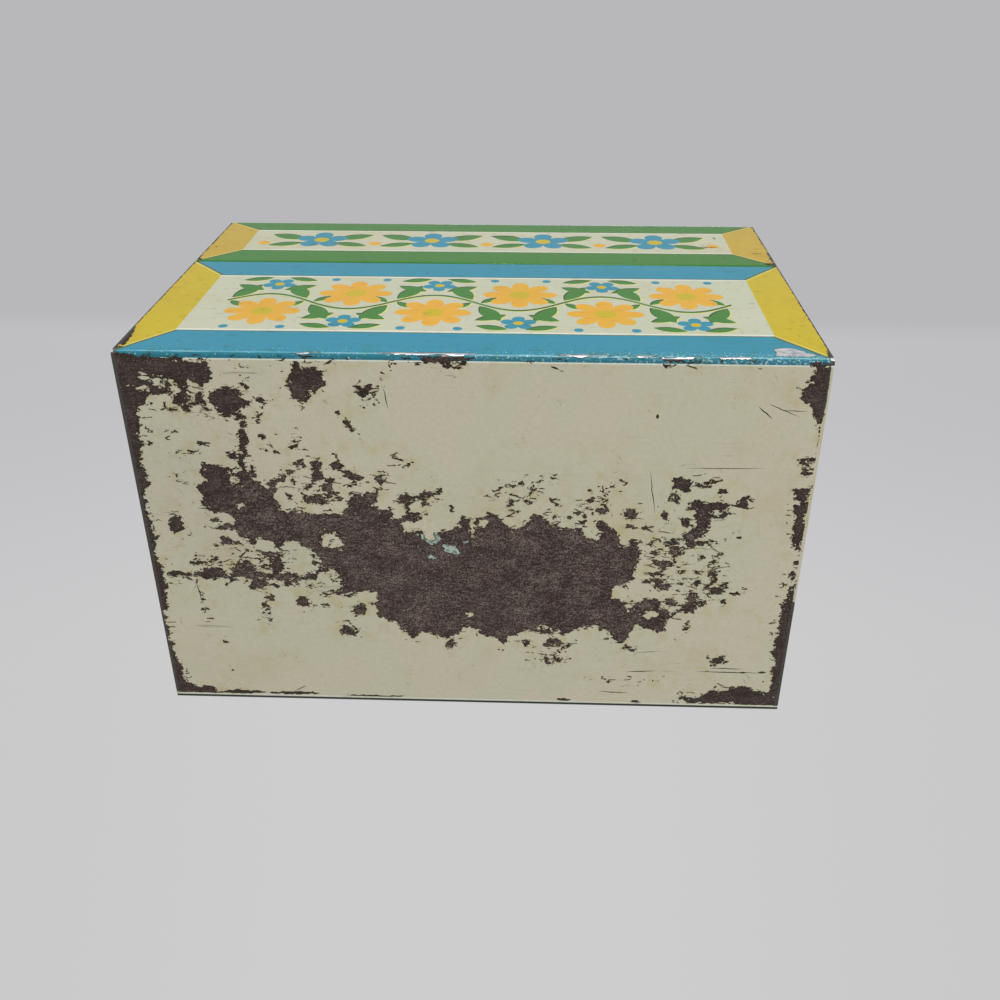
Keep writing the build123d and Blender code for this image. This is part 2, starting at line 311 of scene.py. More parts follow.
ISLANDS_MIDDLE = (
    (0.1, -4.0, 0.3, 1.1, 0), (2.5, -4.9, 0.6, 0.6, 0), (9.3, -6.3, 2.2, 1.2, 0),
    (-1.1, 17.5, 0.9, 0.6, 0), (14.7, 20.7, 1.1, 0.6, 0), (-8.4, -1.9, 1.2, 1.0, 0),
    (31.3, 10.7, 2.4, 1.4, -12),
)
CHIPS_RIGHT = (
    (46.1, -14.9, 1.0, 0.7, 0), (40.0, -11.6, 1.0, 0.8, 0), (31.6, -8.3, 1.3, 1.2, 0),
    (33.6, -5.1, 1.2, 0.4, 0), (49.6, -13.8, 0.4, 0.3, 0), (42.9, -6.3, 1.1, 1.2, 0),
    (38.5, -7.3, 0.5, 1.0, 0), (38.7, -5.2, 1.4, 0.3, 0), (36.3, -1.2, 0.5, 0.5, 0),
    (40.3, -1.9, 1.7, 0.6, 0), (38.0, -1.7, 0.5, 0.4, 0), (46.7, -1.4, 1.2, 0.7, 0),
    (48.9, -1.9, 0.6, 0.4, 0), (37.5, 1.1, 1.2, 0.4, 0), (41.3, 0.9, 1.3, 1.0, 0),
    (38.4, 3.9, 1.7, 1.1, 0), (40.4, 3.5, 0.7, 0.8, 0), (43.2, 0.8, 0.5, 0.8, 0),
    (47.0, 2.3, 0.5, 0.6, 0), (49.2, 4.3, 0.6, 0.3, 0), (47.1, 5.6, 1.1, 0.4, 0),
    (49.8, 6.8, 0.3, 1.3, 0), (50.1, 10.1, 2.5, 1.1, 0), (45.7, 12.1, 1.2, 1.8, 0),
    (45.4, 14.6, 1.6, 1.5, 0), (48.1, 12.9, 0.9, 0.5, 0), (52.1, 12.8, 0.4, 0.8, 0),
    (41.5, 13.4, 1.4, 1.0, 0), (39.9, 7.0, 0.9, 0.3, 0), (36.6, 7.7, 1.7, 0.5, 0),
    (39.8, 9.7, 1.8, 0.5, 15), (45.2, 19.4, 0.7, 1.2, 0), (58.0, 17.6, 0.4, 0.3, 0),
    (52.8, 28.5, 1.6, 1.1, -25), (37.1, 34.4, 0.8, 0.4, 0), (38.7, 34.3, 0.7, 0.1, 0),
    (33.5, 25.6, 0.9, 0.4, 25), (53.8, -2.8, 0.3, 0.3, 0), (64.8, -13.1, 1.5, 1.7, 0),
    (65.0, -17.8, 1.0, 1.0, 0), (65.3, -20.1, 1.3, 0.7, 0), (66.0, 3.8, 0.5, 2.9, 6),
)
ISLANDS_RIGHT = (
    (48.6, -8.6, 0.9, 0.6, 0), (37.2, 16.4, 1.3, 0.9, 0), (32.6, 14.5, 0.5, 0.9, 0),
    (36.8, 10.4, 1.0, 1.5, 0),
)
LEFT_STRIP = (
    (-70, -19.5), (-65.2, -19.6), (-64.6, -19.0), (-65.6, -17.0), (-64.7, -15.0), (-65.1, -12.9),
    (-66.0, -10.9), (-65.8, -8.8), (-65.9, -6.6), (-65.5, -4.5), (-65.6, -2.4), (-65.2, -1.0),
    (-64.3, -0.2), (-65.4, 0.4), (-66.0, 2.0), (-65.9, 4.2),
    (-65.9, 6.5), (-65.4, 8.7), (-65.3, 11.0), (-65.3, 13.3), (-65.2, 15.7), (-66.0, 18.1),
    (-66.7, 20.5), (-66.8, 22.9), (-66.1, 25.3), (-66.3, 27.8), (-66.0, 30.3), (-65.3, 32.8), (-65.0, 35.3),
    (-64.6, 37.4), (-62.4, 38.6), (-60.0, 38.9), (-58.0, 39.6), (-56.4, 40.6), (-70, 41.0),
)
CRACK = (
    (-44.9, -28.0), (-44.3, -27.5), (-44.0, -24.5), (-44.4, -21.0), (-44.8, -17.8), (-45.3, -16.6),
    (-45.2, -20.0), (-44.8, -23.5), (-44.9, -26.0),
)
FRONT_BEND_RUBS = (
    (-6.6, -41.75, 9.6, 0.45, 0), (22.1, -41.75, 4.9, 0.45, 0), (32.6, -41.7, 2.6, 0.4, 0),
    (38.6, -41.3, 3.2, 0.3, 0), (-31.0, -41.3, 2.0, 0.2, 0), (49.5, -41.4, 4.0, 0.3, 0),
)
FRONT_EDGE_LIFT = ((-66.4, -46.8, 0.5, 5.6, 0), (66.4, -43.0, 0.4, 2.0, 0))
# On the lid's front, y is the height
LID_FRONT_CHIPS = (
    (66.4, 61.0, 0.55, 5.0, 0), (63.4, 65.2, 2.6, 0.3, 0), (64.8, 57.0, 1.0, 0.8, 0),
    (-65.9, 56.5, 0.9, 0.6, 0), (-64.9, 67.0, 0.5, 0.4, 0), (52.2, 69.7, 2.6, 0.35, 0),
    (3.0, 78.0, 2.2, 0.3, 0), (-41.3, 69.1, 1.2, 0.3, 0),
)
BARE_OUTLINES = (
    MAIN_BLOT, FRONT_LEFT_CORNER, SPOT_1, SPOT_2, SPOT_3, BEND_SPOT, RIGHT_NET, RIGHT_CHIP,
    RIGHT_STRIP_A, RIGHT_STRIP_B, BACK_RIGHT_CORNER, FRONT_RIGHT, LEFT_STRIP, SCUFF, CRACK,
)
PAINT_OUTLINES = (ISLAND_A,)
BARE_CHIPS = (
    CHIPS_FRONT_LEFT, CHIPS_ABOVE, CHIPS_LEFT, CHIPS_MIDDLE, CHIPS_RIGHT, FRONT_BEND_RUBS,
    FRONT_EDGE_LIFT, LONG_CHIPS,
)
PAINT_ISLANDS = (ISLANDS_FRONT_LEFT, ISLANDS_LEFT, ISLANDS_MIDDLE, ISLANDS_RIGHT)


def soft_noise(x, y, cell, seed):
    """Random heights from -1 to 1 on a square lattice, blended between its points by a cubic step."""
    heights = np.random.default_rng(seed).uniform(-1, 1, (LATTICE, LATTICE))
    gx, gy = x / cell + LATTICE_MIDDLE, y / cell + LATTICE_MIDDLE
    ix, iy = np.floor(gx).astype(int), np.floor(gy).astype(int)
    sx, sy = gx - ix, gy - iy
    sx, sy = sx * sx * (3 - 2 * sx), sy * sy * (3 - 2 * sy)
    low = heights[ix, iy] * (1 - sx) + heights[ix + 1, iy] * sx
    high = heights[ix, iy + 1] * (1 - sx) + heights[ix + 1, iy + 1] * sx
    return low * (1 - sy) + high * sy


def depth_in_outline(x, y, outline):
    """Millimetres inside a closed outline, minus outside: the least distance to its sides, with the
    sign that the count of sides crossed by a ray gives."""
    start = np.array(outline, float)
    way = np.roll(start, -1, 0) - start
    offset = np.stack((x, y), -1)[:, None] - start
    along = np.clip((offset * way).sum(-1) / (way**2).sum(-1), 0, 1)
    gap = offset - along[..., None] * way
    least = np.sqrt((gap**2).sum(-1).min(1))
    below = offset[..., 1] < 0
    next_below = np.roll(below, -1, 1)
    rise = np.where(way[:, 1] == 0, 1e-9, way[:, 1])
    left = offset[..., 0] < way[:, 0] * offset[..., 1] / rise
    return np.where(((below != next_below) & left).sum(1) % 2 == 1, least, -least)


def depth_in_ovals(x, y, ovals):
    """Millimetres inside the nearest of some turned ovals (x, y, half length, half width, turn): one
    less the scaled radius, times the smaller half size."""
    ox, oy, length, width, turn = np.array(ovals, float).T
    turn = np.radians(turn)
    dx, dy = x[:, None] - ox, y[:, None] - oy
    along = (dx * np.cos(turn) + dy * np.sin(turn)) / length
    aside = (dy * np.cos(turn) - dx * np.sin(turn)) / width
    return ((1 - np.hypot(along, aside)) * np.minimum(length, width)).max(1)


def bottom_wear(x, y):
    """Depth into bare metal on the bottom: outlines and chips together, less the islands of paint
    left in them, looked up at places that noise shifts a little."""
    x, y = WEAR_STRETCH * x + WEAR_SHIFT[0], WEAR_STRETCH * y + WEAR_SHIFT[1]
    sx = x + WEAR_WOBBLE * soft_noise(x, y, WOBBLE_CELL, seed=11)
    sy = y + WEAR_WOBBLE * soft_noise(x, y, WOBBLE_CELL, seed=13)
    bare = np.full(x.shape, FAR_OUTSIDE)
    for outline in BARE_OUTLINES:
        bare = np.maximum(bare, depth_in_outline(sx, sy, outline))
    for chips in BARE_CHIPS:
        bare = np.maximum(bare, depth_in_ovals(sx, sy, chips))
    for islands in PAINT_ISLANDS:
        bare = np.minimum(bare, -depth_in_ovals(sx, sy, islands))
    for outline in PAINT_OUTLINES:
        bare = np.minimum(bare, -depth_in_outline(sx, sy, outline))
    return bare


def edge_wear(inset, along, reach, seed):
    """Depth into bare metal beside an edge: its reach varies along the edge with a broad and a fine
    noise."""
    uneven = 0.6 * soft_noise(along, along * 0, 7.0, seed)
    uneven = uneven + 0.4 * soft_noise(along, along * 0, 2.2, seed + 1)
    return reach * (0.5 + uneven) - inset


# ---------------------------------------------------------------- bent sheets

def run(name, start, end, step):
    """A straight run: even points from start to end, about a step apart, with one heading."""
    start, end = np.array(start, float), np.array(end, float)
    way = end - start
    count = max(1, math.ceil(math.hypot(*way) / step))
    points = start + np.linspace(0, 1, count + 1)[:, None] * way
    return name, points, np.full(count + 1, math.atan2(way[1], way[0]))


def fold(name, centre, radius, first, last, steps):
    """An arc: the centre plus the radius times the cosine and sine of even angles from first to last;
    its heading is a quarter turn on from each angle."""
    angles = np.radians(np.linspace(first, last, steps + 1))
    points = np.array(centre) + radius * np.column_stack((np.cos(angles), np.sin(angles)))
    return name, points, angles + math.copysign(math.pi / 2, last - first)


def bent_line(*pieces):
    """Runs and folds end to end: points, headings, and for each cell between points its piece's name."""
    points = np.concatenate([pieces[0][1][:1]] + [piece[1][1:] for piece in pieces])
    headings = np.concatenate([pieces[0][2][:1]] + [piece[2][1:] for piece in pieces])
    names = np.concatenate([[piece[0]] * (len(piece[1]) - 1) for piece in pieces])
    return points, headings, names


def carried(points, headings, outer_side, across, axes):
    """The line carried straight across: a grid of points, and the way its outer face looks, which is
    a quarter turn from the heading to the outer side (1 left, -1 right)."""
    middle = np.zeros((len(points), len(across), 3))
    facing = np.zeros_like(middle)
    turned = headings + outer_side * math.pi / 2
    middle[..., axes[0]] = points[:, :1]
    middle[..., axes[1]] = points[:, 1:]
    middle[..., axes[2]] = across
    facing[..., axes[0]] = np.cos(turned)[:, None]
    facing[..., axes[1]] = np.sin(turned)[:, None]
    return middle, facing


def rim(ids, kept, size):
    """Squares that close the two skins along every border between a kept cell and one left out."""
    framed = np.pad(kept, 1)
    row_before, row_after = framed[:-1, 1:-1], framed[1:, 1:-1]
    column_before, column_after = framed[1:-1, :-1], framed[1:-1, 1:]
    borders = (
        (row_after & ~row_before, ids[:, :-1], ids[:, 1:]),
        (row_before & ~row_after, ids[:, 1:], ids[:, :-1]),
        (column_after & ~column_before, ids[1:], ids[:-1]),
        (column_before & ~column_after, ids[:-1], ids[1:]),
    )
    squares = []
    for chosen, first, last in borders:
        squares.append(np.stack((first, last, last + size, first + size), -1)[chosen])
    return np.concatenate(squares)


def sheet_skins(middle, facing, kept, bare, busy=0.0):
    """One bent sheet as points, faces and fields: the middle surface moved half the sheet's thickness
    each way along its facing, a square on each skin for every kept cell, and a rim between them. The
    fields say which skin a point is on, its depth into bare metal, and how busy its flecks are."""
    outer = middle + HALF_SHEET * facing
    inner = middle - HALF_SHEET * facing
    size = middle.shape[0] * middle.shape[1]
    ids = np.arange(size).reshape(middle.shape[:2])
    cells = np.stack((ids[:-1, :-1], ids[1:, :-1], ids[1:, 1:], ids[:-1, 1:]), -1)[kept]
    faces = np.concatenate((cells, cells[:, ::-1] + size, rim(ids, kept, size)))
    points = np.concatenate((outer.reshape(-1, 3), inner.reshape(-1, 3)))
    first = points[cells[0]]
    look = np.cross(first[1] - first[0], first[3] - first[0])
    if look @ facing.reshape(-1, 3)[cells[0][0]] < 0:
        faces = faces[:, ::-1]
    fields = {
        "outside": np.repeat([1.0, 0.0], size),
        "bare": np.concatenate((bare.ravel(), np.full(size, INNER_SKIN))),
        "busy": np.concatenate(((bare * 0 + busy).ravel(), np.zeros(size))),
    }
    used = np.unique(faces)
    places = np.zeros(len(points), int)
    places[used] = np.arange(len(used))
    return points[used], places[faces], {key: value[used] for key, value in fields.items()}


def mirrored(part):
    """The same sheet on the other side of the middle plane, with its faces turned back outwards."""
    points, faces, fields = part
    return points * (-1, 1, 1), faces[:, ::-1], fields


def make_piece(node, parts, material, body):
    """One mesh from several sheets, in metres, which rides on its body and replaces its node."""
    name = node + "_sheet"
    offsets = np.cumsum([0] + [len(part[0]) for part in parts])
    points = np.concatenate([part[0] for part in parts]) * MM
    faces = np.concatenate([part[1] + offset for part, offset in zip(parts, offsets)])
    mesh = bpy.data.meshes.new(name)
    mesh.vertices.add(len(points))
    mesh.vertices.foreach_set("co", points.ravel())
    mesh.loops.add(faces.size)
    mesh.loops.foreach_set("vertex_index", faces.ravel())
    mesh.polygons.add(len(faces))
    mesh.polygons.foreach_set("loop_start", np.arange(0, faces.size, 4))
    mesh.update(calc_edges=True)
    mesh.validate()
    for key in parts[0][2]:
        values = np.concatenate([part[2][key] for part in parts])
        mesh.attributes.new(key, "FLOAT", "POINT").data.foreach_set("value", values)
    mesh.shade_smooth()
    mesh.set_sharp_from_angle(angle=math.radians(SHARP_ANGLE))
    mesh.materials.append(material)
    piece = bpy.data.objects.new(name, mesh)
    bpy.context.scene.collection.objects.link(piece)
    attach(piece, body)
    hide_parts(node)


def steps_through(low, high, step, marks=()):
    """Even places from low to high, with the marks put in and places too near a mark taken out."""
    even = np.linspace(low, high, math.ceil((high - low) / step) + 1)
    marks = np.array([low, high, *marks])
    apart = np.abs(even[:, None] - marks).min(1) > step / 3
    return np.sort(np.concatenate((even[apart], marks)))


def dents(u, v, low, high, half, seed):
    """How far a panel is pressed in: two soft noises, fading out towards the panel's four edges. u goes
    across it, half to each side, and v along it from low to high."""
    fade_u = np.clip((half - np.abs(u)) / DENT_FADE_ACROSS, 0, 1)
    fade_v = np.clip(np.minimum(v - low, high - v) / DENT_FADE_ALONG, 0, 1)
    fade = fade_u * fade_u * (3 - 2 * fade_u) * fade_v * fade_v * (3 - 2 * fade_v)
    swell = soft_noise(u, v, DENT_CELL, seed) + 0.45 * soft_noise(u, v, DENT_CELL * 0.4, seed + 1)
    return fade * DENT_DEPTH * (0.55 + 0.4 * swell)


def body_wrap_line():
    """Front neck, shoulder, front, bottom, back and roll of the body, from the front's top edge."""
    neck_y = NECK_INSET - WALL_MID
    root = ROOT_BEND + HALF_SHEET
    brow = SHOULDER_BEND - HALF_SHEET
    bend = WRAP_BEND - HALF_SHEET
    shoulder_z = SEAM - HALF_SHEET
    fold_z = HALF_SHEET + bend
    return bent_line(
        run("neck", (neck_y, NECK_TOP), (neck_y, shoulder_z + root), PANEL_STEP),
        fold("neck", (neck_y - root, shoulder_z + root), root, 0, -90, 5),
        run("neck", (neck_y - root, shoulder_z), (brow - WALL_MID, shoulder_z), PANEL_STEP),
        fold("neck", (brow - WALL_MID, shoulder_z - brow), brow, 90, 180, 6),
        run("neck", (-WALL_MID, shoulder_z - brow), (-WALL_MID, SEAM - NOTCH_DEPTH), PANEL_STEP),
        run("front", (-WALL_MID, SEAM - NOTCH_DEPTH), (-WALL_MID, fold_z), BODY_FRONT_STEP),
        fold("bend", (bend - WALL_MID, fold_z), bend, 180, 270, 8),
        run("flat", (bend - WALL_MID, HALF_SHEET), (WALL_MID - bend, HALF_SHEET), FINE_STEP),
        fold("bend", (WALL_MID - bend, fold_z), bend, 270, 360, 8),
        run("back", (WALL_MID, fold_z), (WALL_MID, SEAM - WINDOW_REACH), BODY_BACK_STEP),
        run("roll", (WALL_MID, SEAM - WINDOW_REACH), (WALL_MID, SEAM), PANEL_STEP),
        fold("roll", (HINGE_Y, SEAM), CURL_MID, 180, 180 - CURL_TURN, 24),
    )


def in_spans(x, spans):
    """True where x lies in one of the spans."""
    return np.any([(x > low) & (x < high) for low, high in spans], 0)


def unrolled_y(points, names):
    """Place along the sheet, in millimetres from the middle of the flat panel: y on the panel itself,
    and on round the bends and up or down the walls."""
    steps = np.hypot(*np.diff(points, axis=0).T)
    along = np.concatenate(([0], np.cumsum(steps)))
    flat = np.flatnonzero(names == "flat")
    middle = (along[flat[0]] + along[flat[-1] + 1]) / 2
    return along - middle


def body_wear(x, t):
    """Depth into bare metal on the body's wrap: along its raw edges, and on the bottom as the ovals
    and outlines say, but not on the sliver at the right nor near the back fold."""
    inset = WRAP_HALF_WIDTH - np.abs(x)
    by_edge = edge_wear(inset, t, RAW_EDGE_REACH, seed=31)
    bare = np.where(np.abs(t) < EDGE_WEAR_END, by_edge, RAW_EDGE_LINE - inset)
    low_part = np.abs(t) < BOTTOM_WEAR_END
    bare[low_part] = np.maximum(bare[low_part], bottom_wear(x[low_part], t[low_part]))
    sliver = (x > RIGHT_SLIVER - 1) & (np.abs(t - SLIVER_MIDDLE) < SLIVER_HALF_LENGTH)
    bare = np.where(sliver, np.minimum(bare, CUT_SLOPE * (RIGHT_SLIVER - x)), bare)
    by_fold = np.abs(t - BACK_FOLD) < BACK_FOLD_REACH
    return np.where(by_fold, np.minimum(bare, CUT_SLOPE * (WORN_TO_BACK - t)), bare)


def body_wrap_parts():
    """The body's wrap: its bent line carried across, less the neck's corners and the gaps between the
    rolls, with dents in its bottom, front and back."""
    points, headings, names = body_wrap_line()
    marks = [mark for span in ROLL_SPANS for mark in span]
    across = steps_through(-WRAP_HALF_WIDTH, WRAP_HALF_WIDTH, FINE_STEP,
                           [*marks, CORNER_NOTCH - HALF_WIDTH, HALF_WIDTH - CORNER_NOTCH])
    middle, facing = carried(points, headings, -1, across, (1, 2, 0))
    between = (across[:-1] + across[1:]) / 2
    kept = np.ones((len(points) - 1, len(across) - 1), bool)
    kept[names == "neck"] = np.abs(between) < HALF_WIDTH - CORNER_NOTCH
    kept[names == "roll"] = in_spans(between, ROLL_SPANS)
    x = middle[..., 0]
    t = np.repeat(unrolled_y(points, names)[:, None], len(across), 1)
    bare = body_wear(x, t)
    flat = np.abs(t) < FLAT_END
    front = t < -WALL_START
    back = (t > WALL_START) & (t < WALL_END)
    pressed = dents(x, t, -FLAT_END, FLAT_END, WRAP_HALF_WIDTH, seed=41) * flat
    pressed = pressed + dents(x, -t, WALL_START, WALL_END, WRAP_HALF_WIDTH, seed=43) * front
    pressed = pressed + dents(x, t, WALL_START, WALL_END, WRAP_HALF_WIDTH, seed=45) * back
    middle = middle - facing * pressed[..., None]
    in_busy = depth_in_ovals(x.ravel(), t.ravel(), BUSY_PLACES).reshape(x.shape)
    busy = np.clip(in_busy / BUSY_FADE, 0, 1)
    return [sheet_skins(middle, facing, kept, bare, busy)]


def lid_wrap_line():
    """Hemmed front edge, front, top, back and tabs of the lid, from the hem's end."""
    bend = WRAP_BEND - HALF_SHEET
    hem_y = -WALL_MID + 2 * HEM_FOLD
    hem_z = HEM_BASE + SHEET
    fold_z = HEIGHT - HALF_SHEET - bend
    top_z = HEIGHT - HALF_SHEET
    return bent_line(
        run("hem", (hem_y, HEM_BASE + HEM_WIDTH), (hem_y, hem_z), PANEL_STEP),
        fold("hem", (HEM_FOLD - WALL_MID, hem_z), HEM_FOLD, 0, -180, 8),
        run("front", (-WALL_MID, hem_z), (-WALL_MID, fold_z), LID_FRONT_STEP),
        fold("bend", (bend - WALL_MID, fold_z), bend, 180, 90, 8),
        run("flat", (bend - WALL_MID, top_z), (WALL_MID - bend, top_z), LID_TOP_STEP),
        fold("bend", (WALL_MID - bend, fold_z), bend, 90, 0, 8),
        run("back", (WALL_MID, fold_z), (WALL_MID, SEAM + WINDOW_REACH), PANEL_STEP),
        run("tab", (WALL_MID, SEAM + WINDOW_REACH), (WALL_MID, SEAM), PANEL_STEP),
        fold("tab", (HINGE_Y, SEAM), CURL_MID, 180, 180 + CURL_TURN, 24),
    )


def lid_wrap_parts():
    """The lid's wrap: its bent line carried across, less the gaps beside the tabs, with dents in the
    top, wear along its raw edges and folds, and chips on the front."""
    points, headings, names = lid_wrap_line()
    marks = [mark for span in TAB_SPANS for mark in span]
    across = steps_through(-WRAP_HALF_WIDTH, WRAP_HALF_WIDTH, LID_ACROSS_STEP, marks)
    middle, facing = carried(points, headings, 1, across, (1, 2, 0))
    between = (across[:-1] + across[1:]) / 2
    kept = np.ones((len(points) - 1, len(across) - 1), bool)
    kept[names == "tab"] = in_spans(between, TAB_SPANS)
    x = middle[..., 0]
    t = np.repeat(unrolled_y(points, names)[:, None], len(across), 1)
    z = middle[..., 2]
    by_fold = edge_wear(np.abs(np.abs(t) - LID_FOLD), x, LID_FOLD_REACH, seed=53)
    bare = np.maximum(RAW_EDGE_LINE - WRAP_HALF_WIDTH + np.abs(x), by_fold)
    on_front = middle[..., 1] < -WALL_MID + 0.01
    chips = depth_in_ovals(x.ravel(), z.ravel(), LID_FRONT_CHIPS).reshape(x.shape)
    bare = np.where(on_front, np.maximum(bare, chips), bare)
    pressed = dents(x, t, -FLAT_END, FLAT_END, WRAP_HALF_WIDTH, seed=55) * (np.abs(t) < FLAT_END)
    middle = middle - facing * pressed[..., None]
    return [sheet_skins(middle, facing, kept, bare)]


def side_flange(side, low, high, seed):
    """An end's flange at the front (-1) or back (1): a bend and a run inwards, carried up from low to
    high."""
    turn = END_BEND - HALF_SHEET
    flange_y = HALF_DEPTH - SHEET - HALF_SHEET
    points, headings, _ = bent_line(
        fold("bend", (END_MID - turn, END_FLAT), turn, 0, 90, 6),
        run("flange", (END_MID - turn, flange_y), (HALF_WIDTH - FLANGE_WIDTH, flange_y), PANEL_STEP),
    )
    heights = steps_through(low, high, PANEL_STEP)
    middle, facing = carried(points, headings, -1, heights, (0, 1, 2))
    middle[..., 1] *= side
    facing[..., 1] *= side
    bare = edge_wear(HALF_DEPTH - SHEET - np.abs(middle[..., 1]), middle[..., 2], END_SIDE_REACH, seed)
    whole = np.ones((len(points) - 1, len(heights) - 1), bool)
    return sheet_skins(middle, facing, whole, bare)


def end_parts(line, outer_side, low, high, seed, kept_rule):
    """One end panel: its strip of neck or hem, panel and flange, and two side flanges bent in behind
    the wrap. low and high are the side flanges' ends; kept_rule says which cells of the strip stay."""
    points, headings, names = line
    across = steps_through(-END_FLAT, END_FLAT, END_ACROSS_STEP, NECK_ENDS)
    middle, facing = carried(points, headings, outer_side, across, (0, 2, 1))
    y, z = middle[..., 1], middle[..., 2]
    bare = edge_wear(HALF_DEPTH - SHEET - np.abs(y), z, END_SIDE_REACH, seed)
    bare = np.maximum(bare, edge_wear(z, y, END_BOTTOM_REACH, seed + 2))
    bare = np.maximum(bare, edge_wear(HEIGHT - z, y, END_TOP_REACH, seed + 4))
    bare = np.maximum(bare, edge_wear(np.abs(z - SEAM), y, END_SEAM_REACH, seed + 6))
    between = (across[:-1] + across[1:]) / 2
    panel = (points[:, 0] > END_MID - 0.01)[:, None]
    pressed = dents(y, z, low, high, END_FLAT, seed + 8) * panel
    kept = kept_rule(names, between)
    main_panel = sheet_skins(middle - facing * pressed[..., None], facing, kept, bare)
    return [main_panel, side_flange(-1, low, high, seed), side_flange(1, low, high, seed)]


def body_end_parts():
    """The body's right end panel: neck, shoulder, panel and bottom flange, with side flanges."""
    root = ROOT_BEND + HALF_SHEET
    brow = SHOULDER_BEND - HALF_SHEET
    turn = END_BEND - HALF_SHEET
    neck_x = END_MID - NECK_INSET
    shoulder_z = SEAM - HALF_SHEET
    flange_z = SHEET + HALF_SHEET
    line = bent_line(
        run("neck", (neck_x, NECK_TOP), (neck_x, shoulder_z + root), PANEL_STEP),
        fold("neck", (neck_x + root, shoulder_z + root), root, 180, 270, 5),
        run("neck", (neck_x + root, shoulder_z), (END_MID - brow, shoulder_z), PANEL_STEP),
        fold("neck", (END_MID - brow, shoulder_z - brow), brow, 90, 0, 6),
        run("neck", (END_MID, shoulder_z - brow), (END_MID, SEAM - NOTCH_DEPTH), PANEL_STEP),
        run("panel", (END_MID, SEAM - NOTCH_DEPTH), (END_MID, flange_z + turn), END_STEP),
        fold("bend", (END_MID - turn, flange_z + turn), turn, 0, -90, 6),
        run("flange", (END_MID - turn, flange_z), (HALF_WIDTH - FLANGE_WIDTH, flange_z), PANEL_STEP),
    )

    def kept_rule(names, between):
        kept = np.ones((len(names), len(between)), bool)
        kept[names == "neck"] = (between > NECK_ENDS[0]) & (between < NECK_ENDS[1])
        return kept

    low, high = SHEET + END_BEND, SEAM - FLANGE_DROP
    return end_parts(line, 1, low, high, seed=61, kept_rule=kept_rule)


def lid_end_parts():
    """The lid's right end panel: hemmed lower edge, panel and top flange, with side flanges."""
    turn = END_BEND - HALF_SHEET
    hem_x = END_MID - 2 * HEM_FOLD
    hem_z = HEM_BASE + SHEET
    flange_z = HEIGHT - SHEET - HALF_SHEET
    line = bent_line(
        run("hem", (hem_x, HEM_BASE + HEM_WIDTH), (hem_x, hem_z), PANEL_STEP),
        fold("hem", (END_MID - HEM_FOLD, hem_z), HEM_FOLD, 180, 360, 8),
        run("panel", (END_MID, hem_z), (END_MID, flange_z - turn), END_STEP),
        fold("bend", (END_MID - turn, flange_z - turn), turn, 0, 90, 6),
        run("flange", (END_MID - turn, flange_z), (HALF_WIDTH - FLANGE_WIDTH, flange_z), PANEL_STEP),
    )

    def kept_rule(names, between):
        return np.ones((len(names), len(between)), bool)

    low, high = HEM_BASE + HEM_WIDTH + FLANGE_GAP, HEIGHT - SHEET - END_BEND
    return end_parts(line, -1, low, high, seed=71, kept_rule=kept_rule)


# ---------------------------------------------------------------- colours, matched under the scene's light

def tint(red, green, blue):
    """A colour given as 0 to 255 on a screen, made linear."""
    shares = [value / 255 for value in (red, green, blue)]
    return tuple(s / 12.92 if s < 0.04045 else ((s + 0.055) / 1.055) ** 2.4 for s in shares) + (1.0,)


# Print
CREAM = tint(208, 203, 178)
PRINT_CREAM = tint(200, 201, 175)
LID_CREAM = tint(202, 201, 174)
# Painted shade: the blue darkened where the front fold turns away below
BEND_SHADE_TEAL = tint(44, 108, 122)
BLUE = tint(40, 141, 167)
GREEN = tint(60, 126, 40)
YELLOW = tint(202, 178, 4)
LID_YELLOW = tint(198, 166, 44)
ORANGE = tint(230, 172, 44)
OVERPRINT = tint(86, 88, 40)
# The print's pale line, also laid along the bottom's back fold as a painted highlight
PALE_LINE = tint(232, 238, 224)
GREEN_EDGE = tint(52, 84, 44)
YELLOW_EDGE = tint(220, 216, 112)
PRINT_SPECULAR = 0.22

# Painted highlight of the front fold, painted shadow of the back fold, and wear of the print
FOLD_HIGHLIGHT = tint(150, 204, 216)
BACK_FOLD_SHADOW = tint(38, 44, 32)
NICK = tint(205, 226, 230)
SPECK = tint(58, 50, 36)

# Worn tinplate
BARE_DARK = tint(58, 47, 43)
BARE_LIGHT = tint(150, 136, 124)
BARE_RIM = tint(50, 41, 25)
EDGE_GREY = tint(84, 84, 78)
TIN = tint(150, 148, 142)
TEAL_SPOT = tint(184, 208, 196)
RUBBED_TIN = tint(226, 222, 220)
RUBBED_DULL = tint(168, 182, 192)

# Plain tinplate and wire
INSIDE_TIN = tint(186, 185, 180)
INSIDE_DULL = tint(146, 143, 135)
WIRE_DARK = tint(120, 115, 108)
WIRE_LIGHT = tint(165, 162, 156)
WIRE_BROWN = tint(92, 70, 52)

# Shades that another colour is multiplied by
GREENISH = (0.93, 0.99, 0.96, 1.0)
TAN = (0.95, 0.88, 0.78, 1.0)
STAIN = (0.93, 0.86, 0.68, 1.0)
DIRT_DARK = (0.80, 0.79, 0.77, 1.0)
DIRT_LIGHT = (1.12, 1.12, 1.12, 1.0)
GRIME = (0.97, 0.93, 0.80, 1.0)
# Painted shade, laid over the bottom's left
LEFT_SHADE = (0.93, 0.94, 0.95, 1.0)
PURPLE = (1.0, 0.86, 0.94, 1.0)
# Brown along the worn paint's edges: dirt, and partly a painted shade of the paint's thickness
LIP_DIRT_AND_SHADE = (0.62, 0.55, 0.42, 1.0)


# ---------------------------------------------------------------- noises

